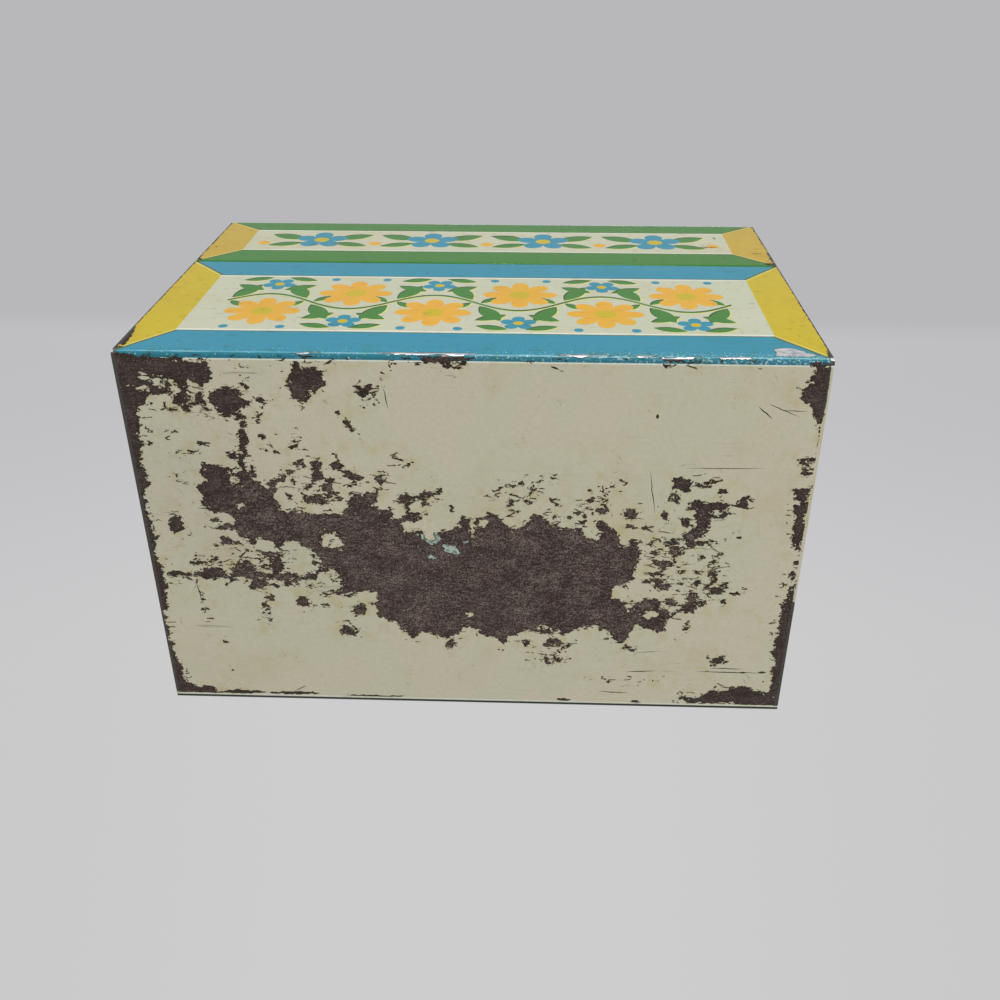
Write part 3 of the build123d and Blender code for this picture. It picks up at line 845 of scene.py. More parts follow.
# A noise is its cell, detail and roughness. A patchy noise also has the two values that it steps
# between, and what it steps from and to where that isn't 0 and 1.
MOTTLE_NOISE = (0.9, 5.0, 0.75)
SPECK_NOISE = (0.62, 4.0, 0.72)
ROUGH_NOISE = (1.7, 6.0, 0.78)
FLECK_NOISE = (1.05, 5.0, 0.68)
LEFT_OVER_NOISE = (0.95, 4.0, 0.65)
STROKE_NOISE = (0.9, 5.0, 0.85)
GRAIN_NOISE = (0.36, 3.0, 0.9)
BROAD_NOISE = (5.0, 5.0, 0.75)
SIDE_NOISE = (0.7, 4.0, 0.7)
ROLLED_NOISE = (0.8, 3.0, 0.6)
DULL_NOISE = (9.0, 4.0, 0.6)
NICK_NOISE = (0.55, 4.0, 0.72)
WIRE_NOISE = (0.6, 3.0, 0.6)
CLOUD_NOISE = (60.0, 3.0, 0.5)
SCRATCH_NOISE = (1.0, 1.0, 0.5)
GREENISH_PATCHES = (30.0, 3.0, 0.6, 0.42, 0.62)
TAN_PATCHES = (17.0, 4.0, 0.6, 0.5, 0.72)
STAIN_PATCHES = (3.4, 4.0, 0.65, 0.48, 0.66)
GRIME_PATCHES = (9.0, 4.0, 0.6, 0.54, 0.70)
SCRATCHED_PATCHES = (6.5, 2.0, 0.6, 0.58, 0.66)
CROSSED_PATCHES = (5.0, 2.0, 0.6, 0.62, 0.68)
FLECKED_PATCHES = (6.0, 4.0, 0.65, 0.42, 0.64)
CRACKED_PATCHES = (2.2, 3.0, 0.6, 0.44, 0.56)
DOTTED_PATCHES = (3.4, 4.0, 0.65, 0.48, 0.6)
PURPLE_PATCHES = (8.0, 3.0, 0.5, 0.45, 0.65)
TEAL_PATCHES = (0.9, 3.0, 0.6, 0.40, 0.5, 0.25, 0.9)
RUBBED_PATCHES = (0.9, 4.0, 0.7, 0.4, 0.56)
# Streaks of the painted highlight along the front fold
FOLD_HIGHLIGHT_PATCHES = (1.6, 3.0, 0.6, 0.38, 0.6, 0.35, 0.8)
WIRE_PATCHES = (2.6, 4.0, 0.6, 0.52, 0.7)


# ---------------------------------------------------------------- wiring

class Bench:
    """A node tree being wired. Each call adds nodes and gives back one of their outputs."""

    def __init__(self, tree):
        self.tree = tree

    def feed(self, socket, value):
        if isinstance(value, bpy.types.NodeSocket):
            self.tree.links.new(value, socket)
        else:
            socket.default_value = value

    def node(self, kind, feeds, settings):
        node = self.tree.nodes.new(kind)
        for key, value in settings.items():
            setattr(node, key, value)
        for key, value in feeds.items():
            self.feed(node.inputs[key], value)
        return node

    def add(self, kind, feeds, out=0, **settings):
        return self.node(kind, feeds, settings).outputs[out]

    def group(self, tree, **feeds):
        named = {key.replace("_", " "): value for key, value in feeds.items()}
        return self.node("ShaderNodeGroup", named, {"node_tree": tree}).outputs

    def math(self, operation, *values):
        """The first two values joined by the operation, then the result with the next one, and on."""
        total = values[0]
        for value in values[1:]:
            total = self.add("ShaderNodeMath", {0: total, 1: value}, operation=operation)
        return total

    def most(self, *values):
        return self.math("MAXIMUM", *values)

    def least(self, *values):
        return self.math("MINIMUM", *values)

    def product(self, *values):
        return self.math("MULTIPLY", *values)

    def sum(self, *values):
        return self.math("ADD", *values)

    def minus(self, value, taken_off):
        return self.math("SUBTRACT", value, taken_off)

    def over(self, value, divisor):
        return self.math("DIVIDE", value, divisor)

    def alone(self, operation, value):
        return self.add("ShaderNodeMath", {0: value}, operation=operation)

    def absolute(self, value):
        return self.alone("ABSOLUTE", value)

    def cosine(self, value):
        return self.alone("COSINE", value)

    def line(self, value, slope, start):
        """The value times the slope, plus the start."""
        return self.add("ShaderNodeMath", {0: value, 1: slope, 2: start}, operation="MULTIPLY_ADD")

    def step(self, value, low, high, start=0.0, end=1.0):
        """From start to end by a smooth step, as the value goes from low to high."""
        feeds = {0: value, 1: low, 2: high, 3: start, 4: end}
        return self.add("ShaderNodeMapRange", feeds, interpolation_type="SMOOTHSTEP")

    def mix(self, share, first, second, **settings):
        return self.add("ShaderNodeMix", {0: share, 6: first, 7: second}, 2, data_type="RGBA", **settings)

    def blend(self, share, first, second):
        return self.add("ShaderNodeMix", {0: share, 2: first, 3: second}, 0, data_type="FLOAT")

    def lay(self, colour, ink, mask, strength):
        """The colour covered by an ink where the mask is, as far as the strength says."""
        return self.mix(self.product(mask, strength), colour, ink)

    def shade(self, colour, share, second):
        """The colour multiplied by a second one, as far as the share says."""
        return self.mix(share, colour, second, blend_type="MULTIPLY")

    def split(self, vector):
        return self.node("ShaderNodeSeparateXYZ", {0: vector}, {}).outputs

    def join(self, x, y, z=0.0):
        return self.add("ShaderNodeCombineXYZ", {0: x, 1: y, 2: z})

    def vector(self, operation, *vectors, out=0):
        return self.add("ShaderNodeVectorMath", dict(enumerate(vectors)), out, operation=operation)

    def scaled(self, vector, scale):
        return self.vector("MULTIPLY", vector, scale)

    def length(self, vector):
        return self.vector("LENGTH", vector, out="Value")

    def local(self, place, x, y, turn=0.0, half_length=1.0, half_width=1.0):
        """The place seen from a shape's middle, along and across it, in its half sizes."""
        feeds = {
            "Vector": place,
            "Location": (x, y, 0.0),
            "Rotation": (0.0, 0.0, math.radians(turn)),
            "Scale": (half_length, half_width, 1.0),
        }
        return self.add("ShaderNodeMapping", feeds, vector_type="TEXTURE")

    def noise(self, place, cell, detail=2.0, roughness=0.5):
        feeds = {"Vector": place, "Scale": 1.0 / cell, "Detail": detail, "Roughness": roughness}
        return self.add("ShaderNodeTexNoise", feeds)

    def patches(self, place, cell, detail, roughness, low, high, start=0.0, end=1.0):
        """The same noise, stepped from start to end as it goes from low to high."""
        return self.step(self.noise(place, cell, detail, roughness), low, high, start, end)

    def cells(self, place, cell, feature="F1", out="Distance"):
        feeds = {"Vector": place, "Scale": 1.0 / cell}
        return self.add("ShaderNodeTexVoronoi", feeds, out, feature=feature)

    def flakes(self, place, cell):
        """A random value from -0.5 to 0.5 for each cell."""
        colour = self.cells(place, cell, out="Color")
        return self.minus(self.add("ShaderNodeSeparateColor", {0: colour}), 0.5)

    def warped(self, place, cell, reach):
        """The place pushed about by a noise of the given cell, by up to about half the reach."""
        feeds = {"Vector": place, "Scale": 1.0 / cell, "Detail": 3.0}
        push = self.add("ShaderNodeTexNoise", feeds, "Color")
        parts = self.node("ShaderNodeSeparateColor", {0: push}, {}).outputs
        push = self.join(parts[0], parts[1], parts[2])
        push = self.vector("SUBTRACT", push, (0.5, 0.5, 0.5))
        return self.vector("MULTIPLY_ADD", push, (reach, reach, reach), place)

    def attribute(self, name):
        return self.add("ShaderNodeAttribute", {}, "Fac", attribute_name=name)

    def place(self):
        """Object coordinates in millimetres."""
        return self.scaled(self.add("ShaderNodeTexCoord", {}, "Object"), (1000.0, 1000.0, 1000.0))

    def bump(self, height):
        """The normal that a height in millimetres gives."""
        return self.add("ShaderNodeBump", {"Height": height, "Distance": MM, "Strength": 1.0})

    def put_out(self, kind, shader):
        """The shader fed to the tree's output."""
        self.feed(self.tree.nodes.new(kind).inputs["Surface"], shader)


def empty_bench(owner):
    """The bench of a material or world, with no nodes yet."""
    owner.use_nodes = True
    owner.node_tree.nodes.clear()
    return Bench(owner.node_tree)


def new_material(name):
    """A new material and its bench."""
    material = bpy.data.materials.new(name)
    return material, empty_bench(material)


SOCKETS = {"value": "NodeSocketFloat", "vector": "NodeSocketVector", "colour": "NodeSocketColor"}


def new_group(name, feeds, results):
    """An empty node group with named sockets: its bench, its inputs and its outputs."""
    tree = bpy.data.node_groups.new(name, "ShaderNodeTree")
    for label, kind in feeds.items():
        tree.interface.new_socket(label, in_out="INPUT", socket_type=SOCKETS[kind])
    for label, kind in results.items():
        tree.interface.new_socket(label, in_out="OUTPUT", socket_type=SOCKETS[kind])
    given = tree.nodes.new("NodeGroupInput").outputs
    taken = tree.nodes.new("NodeGroupOutput").inputs
    return Bench(tree), given, taken


# ---------------------------------------------------------------- the print

# A leaf is x, y, turn, half length and half width. A flower is x, y, radius, count of petals, turn and
# waist. A berry is x, y and radius.
VINE_CELL = 17.4
VINE_SWING = 4.4
STEM_EDGE = (0.5, 0.38)
CELL_LEAVES = (
    (-5.3, -8.6, 28, 3.6, 1.5), (5.3, -8.6, -28, 3.6, 1.5), (-4.9, -14.2, -16, 3.4, 1.3),
    (4.9, -14.2, 16, 3.4, 1.3),
)
BORDER_LEAVES = (
    (-3.1, 6.2, 118, 4.9, 1.9), (3.1, -6.2, 118, 4.9, 1.9), (-2.6, -1.6, 48, 2.4, 1.0),
    (2.6, 1.6, 48, 2.4, 1.0),
)
CELL_BERRIES = ((-5.6, 14.6, 0.95), (5.6, 14.6, 0.95))
BLUE_FLOWER = (0.0, -11.2, 3.7, 5, 90, 0.5)
DAISY = (0.0, 5.6, 7.9, 8, 90, 0.52)
GARLAND_CELL = 27.0
GARLAND_LEAVES = (
    (-8.0, 2.6, 157, 4.9, 2.2), (8.0, 2.6, 23, 4.9, 2.2), (-7.8, -3.6, 197, 4.4, 1.7),
    (7.8, -3.6, -17, 4.4, 1.7),
)
GARLAND_BUDS = ((-13.5, -2.4, 1.5), (13.5, -2.4, 1.5))
GARLAND_FLOWER = (0.0, 0.4, 6.4, 5, 90, 0.45)
PLATE_SHIFT = (0.3, -0.42, 0.0)

# A petal is rounder the smaller its power. A flower's eye ends between these shares of its radius, and
# the edges of motifs are this soft
PETAL_ROUNDNESS = 0.6
EYE_EDGE = (0.29, 0.27)
SOFT_EDGE = 0.05


def leaf(bench, place, shape):
    """A pointed oval: inside where one less the square along is more than the distance across."""
    along, across, _ = bench.split(bench.local(place, *shape))
    body = bench.minus(1.0, bench.product(along, along))
    return bench.step(bench.minus(body, bench.absolute(across)), 0.0, SOFT_EDGE)


def flower(bench, place, x, y, radius, petals, turn, waist):
    """A flower whose edge swings between waist and full radius with the cosine of its angle: petals
    and eye."""
    along, across, _ = bench.split(bench.local(place, x, y, turn, radius, radius))
    out = bench.alone("SQRT", bench.sum(bench.product(along, along), bench.product(across, across)))
    angle = bench.math("ARCTAN2", across, along)
    swing = bench.absolute(bench.cosine(bench.product(angle, petals / 2)))
    edge = bench.line(bench.math("POWER", swing, PETAL_ROUNDNESS), 1 - waist, waist)
    return bench.step(bench.minus(edge, out), 0.0, 0.03), bench.step(out, *EYE_EDGE)


def dot(bench, place, x, y, radius):
    """A round berry."""
    return bench.step(bench.length(bench.local(place, x, y)), radius + SOFT_EDGE, radius - SOFT_EDGE)


def two_plates(bench, ground, green_of, place):
    """Green printed as a yellow and a blue plate that don't quite meet: yellow shows on one side of
    each shape and a dark line on the other."""
    yellow_plate = green_of(bench, place)
    blue_plate = green_of(bench, bench.vector("ADD", place, PLATE_SHIFT))
    colour = bench.lay(ground, YELLOW_EDGE, yellow_plate, 0.75)
    colour = bench.mix(blue_plate, colour, GREEN_EDGE)
    return bench.mix(bench.least(yellow_plate, blue_plate), colour, GREEN)


def in_cell(bench, across, cell, start):
    """Place across a repeated cell, from its middle, and the cell's count."""
    moved = bench.minus(across, start)
    count = bench.alone("ROUND", bench.over(moved, cell))
    return bench.minus(moved, bench.product(count, cell)), count


def in_vine_cell(bench, x, y, start):
    """Place across a cell of the vine, and the whole place in it, every second one upside down."""
    inner_x, count = in_cell(bench, x, VINE_CELL, start)
    flip = bench.cosine(bench.product(count, math.pi))
    return inner_x, bench.join(inner_x, bench.product(y, flip))


def all_leaves(bench, spot, leaves):
    """Several leaves together."""
    green = leaf(bench, spot, leaves[0])
    for shape in leaves[1:]:
        green = bench.most(green, leaf(bench, spot, shape))
    return green


def vine_green(bench, spot):
    """The vine's stem, a cosine wave, and its leaves. Leaves that cross from cell to cell are drawn in
    cells moved on by half."""
    x, y, _ = bench.split(spot)
    inner_x, inner = in_vine_cell(bench, x, y, VINE_CELL / 2)
    wave = bench.cosine(bench.product(inner_x, math.pi / VINE_CELL))
    from_stem = bench.absolute(bench.line(wave, VINE_SWING, bench.split(inner)[1]))
    green = bench.most(bench.step(from_stem, *STEM_EDGE), all_leaves(bench, inner, CELL_LEAVES))
    border = in_vine_cell(bench, x, y, 0.0)[1]
    return bench.most(green, all_leaves(bench, border, BORDER_LEAVES))


def draw_vine(bench, x, y, ground):
    """A waving vine in repeated cells: stem, leaves, daisies, small blue flowers and berries."""
    colour = two_plates(bench, ground, vine_green, bench.join(x, y))
    place = in_vine_cell(bench, x, y, VINE_CELL / 2)[1]
    blue, blue_eye = flower(bench, place, *BLUE_FLOWER)
    for shape in CELL_BERRIES:
        blue = bench.most(blue, dot(bench, place, *shape))
    petals, eye = flower(bench, place, *DAISY)
    colour = bench.mix(blue, colour, BLUE)
    colour = bench.mix(blue_eye, colour, YELLOW)
    colour = bench.mix(petals, colour, ORANGE)
    return bench.mix(eye, colour, YELLOW)


def garland_green(bench, spot):
    return all_leaves(bench, spot, GARLAND_LEAVES)


def draw_garland(bench, x, y, ground):
    """A narrow row of blue five-petalled flowers with leaf pairs and yellow buds between them."""
    place = bench.join(in_cell(bench, x, GARLAND_CELL, GARLAND_CELL / 2)[0], y)
    colour = two_plates(bench, ground, garland_green, place)
    buds = dot(bench, place, *GARLAND_BUDS[0])
    buds = bench.most(buds, dot(bench, place, *GARLAND_BUDS[1]))
    petals, eye = flower(bench, place, *GARLAND_FLOWER)
    colour = bench.mix(buds, colour, ORANGE)
    colour = bench.mix(petals, colour, BLUE)
    return bench.mix(eye, colour, YELLOW)


def motif_group(name, draw):
    """A motif drawn at a scale, as far as its reach to each side, with the bare ground beyond."""
    feeds = {"Across": "value", "Up": "value", "Scale": "value", "Reach": "value", "Ground": "colour"}
    bench, given, taken = new_group(name, feeds, {"Color": "colour"})
    x = bench.over(given["Across"], given["Scale"])
    y = bench.over(given["Up"], given["Scale"])
    colour = draw(bench, x, y, given["Ground"])
    beyond = bench.minus(bench.absolute(given["Across"]), given["Reach"])
    bench.feed(taken["Color"], bench.mix(bench.step(beyond, 0.0, SOFT_EDGE), colour, given["Ground"]))
    return bench.tree


def frame_group():
    """A picture frame of flat bands with mitred corners: across and up are measured against the
    inner and outer limits, and the band with the larger share of its width wins. Beside the mitre one
    ink laps over the other, and a pale and a dark line run between the bands and the field."""
    bench, given, taken = new_group(
        "mitred frame",
        {"Across": "value", "Up": "value", "Inner Half": "value", "Outer Half": "value",
         "Low Outer": "value", "Low Inner": "value", "High Inner": "value", "High Outer": "value",
         "Field": "colour", "Sides": "colour", "Low Band": "colour", "High Band": "colour"},
        {"Color": "colour"})

    def share(value, inner, outer):
        """How far value has gone from the inner limit to the outer one, from 0 to 1."""
        return bench.over(bench.minus(value, inner), bench.minus(outer, inner))

    side = share(bench.absolute(given["Across"]), given["Inner Half"], given["Outer Half"])
    low = share(given["Up"], given["Low Inner"], given["Low Outer"])
    high = share(given["Up"], given["High Inner"], given["High Outer"])
    upright = bench.most(low, high)
    in_high = bench.step(bench.minus(high, low), -0.002, 0.002)
    band = bench.mix(in_high, given["Low Band"], given["High Band"])
    lead = bench.minus(side, upright)
    colour = bench.mix(bench.step(lead, -0.004, 0.004), band, given["Sides"])
    pale = bench.product(bench.step(lead, 0.0, 0.01), bench.step(lead, 0.09, 0.06))
    colour = bench.lay(colour, YELLOW_EDGE, pale, 0.7)
    dark = bench.product(bench.step(lead, -0.09, -0.06), bench.step(lead, 0.012, 0.0))
    colour = bench.lay(colour, OVERPRINT, dark, 0.85)
    in_field = bench.step(bench.most(side, upright), 0.006, -0.006)
    colour = bench.mix(in_field, colour, given["Field"])
    by_band = bench.step(side, 0.0, -0.01)
    from_pale = bench.absolute(bench.sum(upright, 0.05))
    pale_line = bench.product(by_band, bench.step(from_pale, 0.04, 0.025))
    colour = bench.lay(colour, PALE_LINE, pale_line, 0.8)
    dark_line = bench.product(by_band, bench.step(bench.absolute(upright), 0.026, 0.014))
    colour = bench.lay(colour, OVERPRINT, dark_line, 0.75)
    bench.feed(taken["Color"], colour)
    return bench.tree


# ---------------------------------------------------------------- age and wear

# Stretches that draw a noise out into scratches, along x and along a slanting line
ALONG_SCRATCH = (0.035, 0.75, 0.75)
CROSS_SCRATCH = (0.05, 0.8, 0.8)
CROSS_TURN = 57.0

# A scratch is where its noise is this near its middle, from none to all of the scratch
SCRATCH_WIDTH = (0.008, 0.002)
CROSS_WIDTH = (0.007, 0.002)
CROSS_MIDDLE = 0.52

# How far each shade of age is laid over the paint
GREENISH_STRENGTH = 0.55
TAN_STRENGTH = 0.6
STAIN_STRENGTH = 0.75
GRIME_STRENGTH = 0.5
SCRATCH_STRENGTH = 0.4

# Stains lie this far out from bare metal, and specks come above the first value of their noise, or
# above less of it where the grime is thick
STAIN_REACH = (-5.0, 0.0)
SPECK_LIMIT = 0.72
SPECKS_IN_GRIME = -0.1


def scratch_lines(bench, place):
    """Fine broken scratches: thin lines where a drawn-out noise passes its middle, kept in patches."""
    grain = bench.noise(bench.scaled(place, ALONG_SCRATCH), *SCRATCH_NOISE)
    line = bench.step(bench.absolute(bench.minus(grain, 0.5)), *SCRATCH_WIDTH)
    broken = bench.patches(bench.scaled(place, (0.5, 1.0, 1.0)), *SCRATCHED_PATCHES)
    turned = bench.scaled(bench.local(place, 0.0, 0.0, CROSS_TURN), CROSS_SCRATCH)
    cross = bench.noise(turned, *SCRATCH_NOISE)
    cross_line = bench.step(bench.absolute(bench.minus(cross, CROSS_MIDDLE)), *CROSS_WIDTH)
    cross_broken = bench.patches(place, *CROSSED_PATCHES)
    return bench.most(bench.product(line, broken), bench.product(cross_line, cross_broken))


def paint_age_group():
    """Old lacquer: large greenish and tan patches, small stains, specks and fine scratches."""
    bench, given, taken = new_group(
        "aged lacquer", {"Place": "vector", "Color": "colour", "Bare": "value", "Dirt": "value"},
        {"Color": "colour", "Gloss Loss": "value", "Scratch": "value"})
    place = given["Place"]
    dirt = given["Dirt"]
    greenish = bench.patches(place, *GREENISH_PATCHES)
    colour = bench.shade(given["Color"], bench.product(greenish, GREENISH_STRENGTH), GREENISH)
    tan = bench.patches(bench.scaled(place, (0.8, 0.9, 0.8)), *TAN_PATCHES)
    colour = bench.shade(colour, bench.product(tan, TAN_STRENGTH), TAN)
    near = bench.step(given["Bare"], *STAIN_REACH)
    stain = bench.product(bench.patches(place, *STAIN_PATCHES), near)
    colour = bench.shade(colour, bench.product(stain, STAIN_STRENGTH), STAIN)
    mottle = bench.noise(place, *MOTTLE_NOISE)
    colour = bench.shade(colour, dirt, bench.mix(mottle, DIRT_DARK, DIRT_LIGHT))
    cluster = bench.patches(place, *GRIME_PATCHES)
    colour = bench.shade(colour, bench.product(cluster, dirt, GRIME_STRENGTH), GRIME)
    limit = bench.line(cluster, SPECKS_IN_GRIME, SPECK_LIMIT)
    speck = bench.minus(bench.noise(place, *SPECK_NOISE), limit)
    speck = bench.step(speck, 0.0, 0.03)
    scratch = scratch_lines(bench, place)
    colour = bench.mix(bench.product(scratch, dirt, SCRATCH_STRENGTH), colour, SPECK)
    colour = bench.lay(colour, SPECK, speck, dirt)
    bench.feed(taken["Color"], colour)
    gloss_loss = bench.line(mottle, 0.2, bench.product(greenish, 0.05))
    bench.feed(taken["Gloss Loss"], bench.product(gloss_loss, dirt))
    bench.feed(taken["Scratch"], scratch)
    return bench.tree


def dot_in(bench, place, shape):
    """1 in the middle of a turned oval, fading to 0 at its edge."""
    return bench.step(bench.length(bench.local(place, *shape)), 1.0, 0.2)


def loose_flecks(bench, drawn_out, spot, limit):
    """Depth inside flecks of lost paint: random small cells and a noise together, above a limit."""
    by_cell = bench.product(bench.flakes(spot, 0.95), 0.45)
    by_noise = bench.product(bench.noise(drawn_out, *FLECK_NOISE), 0.6)
    return bench.minus(bench.sum(by_cell, by_noise, -0.3), limit)


def thin_cracks(bench, given, spot, patchy, busy):
    """Depth inside cracks along the borders of larger cells, close to the worn places and there where
    the paint is patchy or busy."""
    close = bench.step(given["Bare"], -3.0, -0.9)
    cracked = bench.product(close, bench.patches(given["Place"], *CRACKED_PATCHES))
    width = bench.line(bench.product(cracked, bench.most(patchy, busy)), 2.0, -1.0)
    width = bench.least(width, bench.line(given["Ragged"], 0.55, -0.505))
    from_border = bench.cells(bench.scaled(spot, (0.6, 1.2, 1.2)), 2.2, "DISTANCE_TO_EDGE")
    return bench.minus(width, from_border)


def left_over_paint(bench, given):
    """Depth inside small flakes of paint that stay on the bare metal, most of them by its rim."""
    by_rim = bench.product(bench.step(given["Bare"], -0.2, 0.5), bench.step(given["Bare"], 3.6, 0.4))
    return bench.minus(bench.noise(given["Place"], *LEFT_OVER_NOISE), bench.line(by_rim, -0.13, 0.78))


def ragged_wear_group():
    """Where the paint has gone: the wear field pushed in and out by a noise and by flakes that come
    away whole, with loose flecks and thin cracks near it, less the paint left over."""
    bench, given, taken = new_group(
        "ragged wear",
        {"Place": "vector", "Bare": "value", "Busy": "value", "Ragged": "value", "Chips": "value"},
        {"Gone": "value", "Rim": "value", "Lip": "value", "Depth": "value"})
    place = given["Place"]
    ragged = given["Ragged"]
    drawn_out = bench.scaled(place, (0.62, 1.0, 1.0))
    spot = bench.warped(drawn_out, 0.8, 0.9)
    rough = bench.minus(bench.noise(drawn_out, *ROUGH_NOISE), 0.5)
    push = bench.sum(bench.product(rough, 2.3), bench.product(bench.flakes(spot, 1.2), 0.8),
                     bench.product(bench.flakes(spot, 0.5), 0.65))
    field = bench.line(push, ragged, given["Bare"])
    near = bench.product(bench.step(given["Bare"], -6.0, -0.3), ragged)
    patchy = bench.patches(place, *FLECKED_PATCHES)
    busy = bench.product(given["Busy"], ragged)
    limit = bench.line(bench.product(near, patchy), -0.12, 0.35)
    limit = bench.least(limit, bench.line(busy, -0.17, 0.36))
    flecks = loose_flecks(bench, drawn_out, spot, limit)
    field = bench.most(field, bench.product(flecks, ragged, given["Chips"], 4.0))
    field = bench.most(field, bench.product(thin_cracks(bench, given, spot, patchy, busy), 2.2))
    field = bench.least(field, bench.product(left_over_paint(bench, given), -5.0))
    gone = bench.step(field, -0.03, 0.03)
    bench.feed(taken["Gone"], gone)
    bench.feed(taken["Rim"], bench.product(bench.step(field, 0.6, 0.08), gone))
    bench.feed(taken["Lip"], bench.step(field, -0.16, -0.02))
    bench.feed(taken["Depth"], field)
    return bench.tree


# Remains of paint on the large bare patch, and the oval in which its metal is duller
TEAL_FLAKES = (
    (-8.2, -1.9, 10.0, 2.2, 1.5), (-4.2, 0.9, 32.0, 2.1, 0.9), (-8.3, 2.8, 20.0, 0.8, 0.4),
    (-1.2, -1.0, 0.0, 0.6, 0.3),
)
DULL_MIDDLE = (-2.0, 4.0, 4.0, 58.0, 32.0)
# Near the side edges the metal turns grey
SIDE_EDGE = (65.6, 66.0)
CRYSTAL_SCALE = 0.35


def bare_metal_group():
    """Tinplate gone dark: brown-purple with fine light strokes along x, brown rims and dull spots. Its
    bright colour is that of rubbed folds."""
    bench, given, taken = new_group(
        "darkened tinplate", {"Place": "vector", "Rim": "value"},
        {"Color": "colour", "Bright": "colour", "Roughness": "value", "Height": "value"})
    place = given["Place"]
    strokes = bench.noise(bench.scaled(place, (0.6, 1.5, 1.5)), *STROKE_NOISE)
    grains = bench.noise(place, *GRAIN_NOISE)
    broad = bench.noise(bench.scaled(place, (0.7, 1.0, 1.0)), *BROAD_NOISE)
    light = bench.sum(bench.product(strokes, 0.65), bench.product(grains, 1.1), bench.product(broad, 0.45))
    from_middle = bench.length(bench.local(place, *DULL_MIDDLE))
    share = bench.product(bench.step(light, 1.02, 1.36), bench.step(from_middle, 1.0, 0.8, 0.45, 1.0))
    colour = bench.mix(share, BARE_DARK, BARE_LIGHT)
    dots = bench.step(bench.cells(bench.warped(place, 0.5, 0.4), 0.42), 0.24, 0.12)
    dots = bench.product(dots, bench.patches(place, *DOTTED_PATCHES))
    colour = bench.lay(colour, TIN, dots, 0.65)
    purple = bench.patches(place, *PURPLE_PATCHES)
    colour = bench.shade(colour, bench.product(purple, 0.6), PURPLE)
    teal = all_leaves(bench, bench.warped(place, 0.8, 1.6), TEAL_FLAKES)
    teal = bench.product(teal, bench.patches(place, *TEAL_PATCHES))
    colour = bench.mix(teal, colour, TEAL_SPOT)
    colour = bench.lay(colour, BARE_RIM, given["Rim"], 0.8)
    by_side = bench.absolute(bench.split(place)[0])
    by_side = bench.line(bench.minus(bench.noise(place, *SIDE_NOISE), 0.5), 1.6, by_side)
    colour = bench.lay(colour, EDGE_GREY, bench.step(by_side, *SIDE_EDGE), 0.75)
    rubbed = bench.patches(bench.scaled(place, (0.4, 1.0, 1.0)), *RUBBED_PATCHES)
    bench.feed(taken["Bright"], bench.mix(rubbed, RUBBED_DULL, RUBBED_TIN))
    bench.feed(taken["Color"], colour)
    bench.feed(taken["Roughness"], bench.blend(share, 0.62, 0.42))
    bench.feed(taken["Height"], bench.product(bench.sum(strokes, grains), 0.02))
    return bench.tree


def tin_inside_group():
    """Unpainted tinplate: a soft mottle of crystals and rolling lines along x, dulled in places."""
    bench, given, taken = new_group(
        "plain tinplate", {"Place": "vector"}, {"Color": "colour", "Roughness": "value"})
    place = given["Place"]
    feeds = {"Vector": place, "Scale": CRYSTAL_SCALE}
    crystals = bench.add("ShaderNodeTexVoronoi", feeds, "Color", feature="SMOOTH_F1")
    rolled = bench.noise(bench.scaled(place, (0.05, 2.0, 2.0)), *ROLLED_NOISE)
    dull = bench.noise(place, *DULL_NOISE)
    tone = bench.sum(bench.product(bench.add("ShaderNodeSeparateColor", {0: crystals}), 0.25),
                     bench.product(rolled, 0.4), bench.product(dull, 0.6))
    bench.feed(taken["Color"], bench.mix(bench.step(tone, 0.4, 0.85), INSIDE_DULL, INSIDE_TIN))
    bench.feed(taken["Roughness"], bench.step(tone, 0.3, 0.9, 0.34, 0.5))
    return bench.tree


VINE = motif_group("running vine", draw_vine)
GARLAND = motif_group("narrow garland", draw_garland)
FRAME = frame_group()
AGE = paint_age_group()
RAGGED = ragged_wear_group()
BARE_METAL = bare_metal_group()
PLAIN_TIN = tin_inside_group()

# Frame limits of the printed panels
SIDE_INNER = 57.8
END_SIDE_INNER = 32.6
BODY_LIMITS = {"Low_Outer": 0.0, "Low_Inner": 11.4, "High_Inner": 45.6, "High_Outer": SEAM}
LID_LIMITS = {"Low_Outer": SEAM, "Low_Inner": 64.4, "High_Inner": 81.6, "High_Outer": HEIGHT}
TOP_LIMITS = {"Low_Outer": -HALF_DEPTH, "Low_Inner": -33.0, "High_Inner": 33.0,
              "High_Outer": HALF_DEPTH}

# Heights of the rows of flowers, and how far they are from the middle of the top
VINE_MIDDLE = 28.5
GARLAND_MIDDLE = 73.0
TOP_VINE_MIDDLE = 16.6

# How far the body's print runs on round the front bend, and how far above the back fold it ends
PRINT_ROUND_BEND = 1.4
PRINT_ENDS_AT_BACK = 1.3
PALE_STRIP = 0.3
# Painted shade below the front fold: its share and the heights over which it fades in; then the middle of
# the painted highlight along the fold
BEND_SHADE = 0.62
BELOW_FOLD = (0.62, 0.3)
FOLD_MIDDLE = 0.66

# Where the back fold's painted highlight and painted shadow start, how high the shadow goes, where the
# ends' outer face is clear of the neck, and where their cream ends
BACK_FOLD_HIGHLIGHT = (39.7, 39.85)
BACK_SHADOW = (40.1, 40.3)
SHADOW_TOP = (1.3, 1.1)
CLEAR_OF_NECK = (65.75, 65.9)
ENDS_CREAM_TOP = (0.75, 0.85)
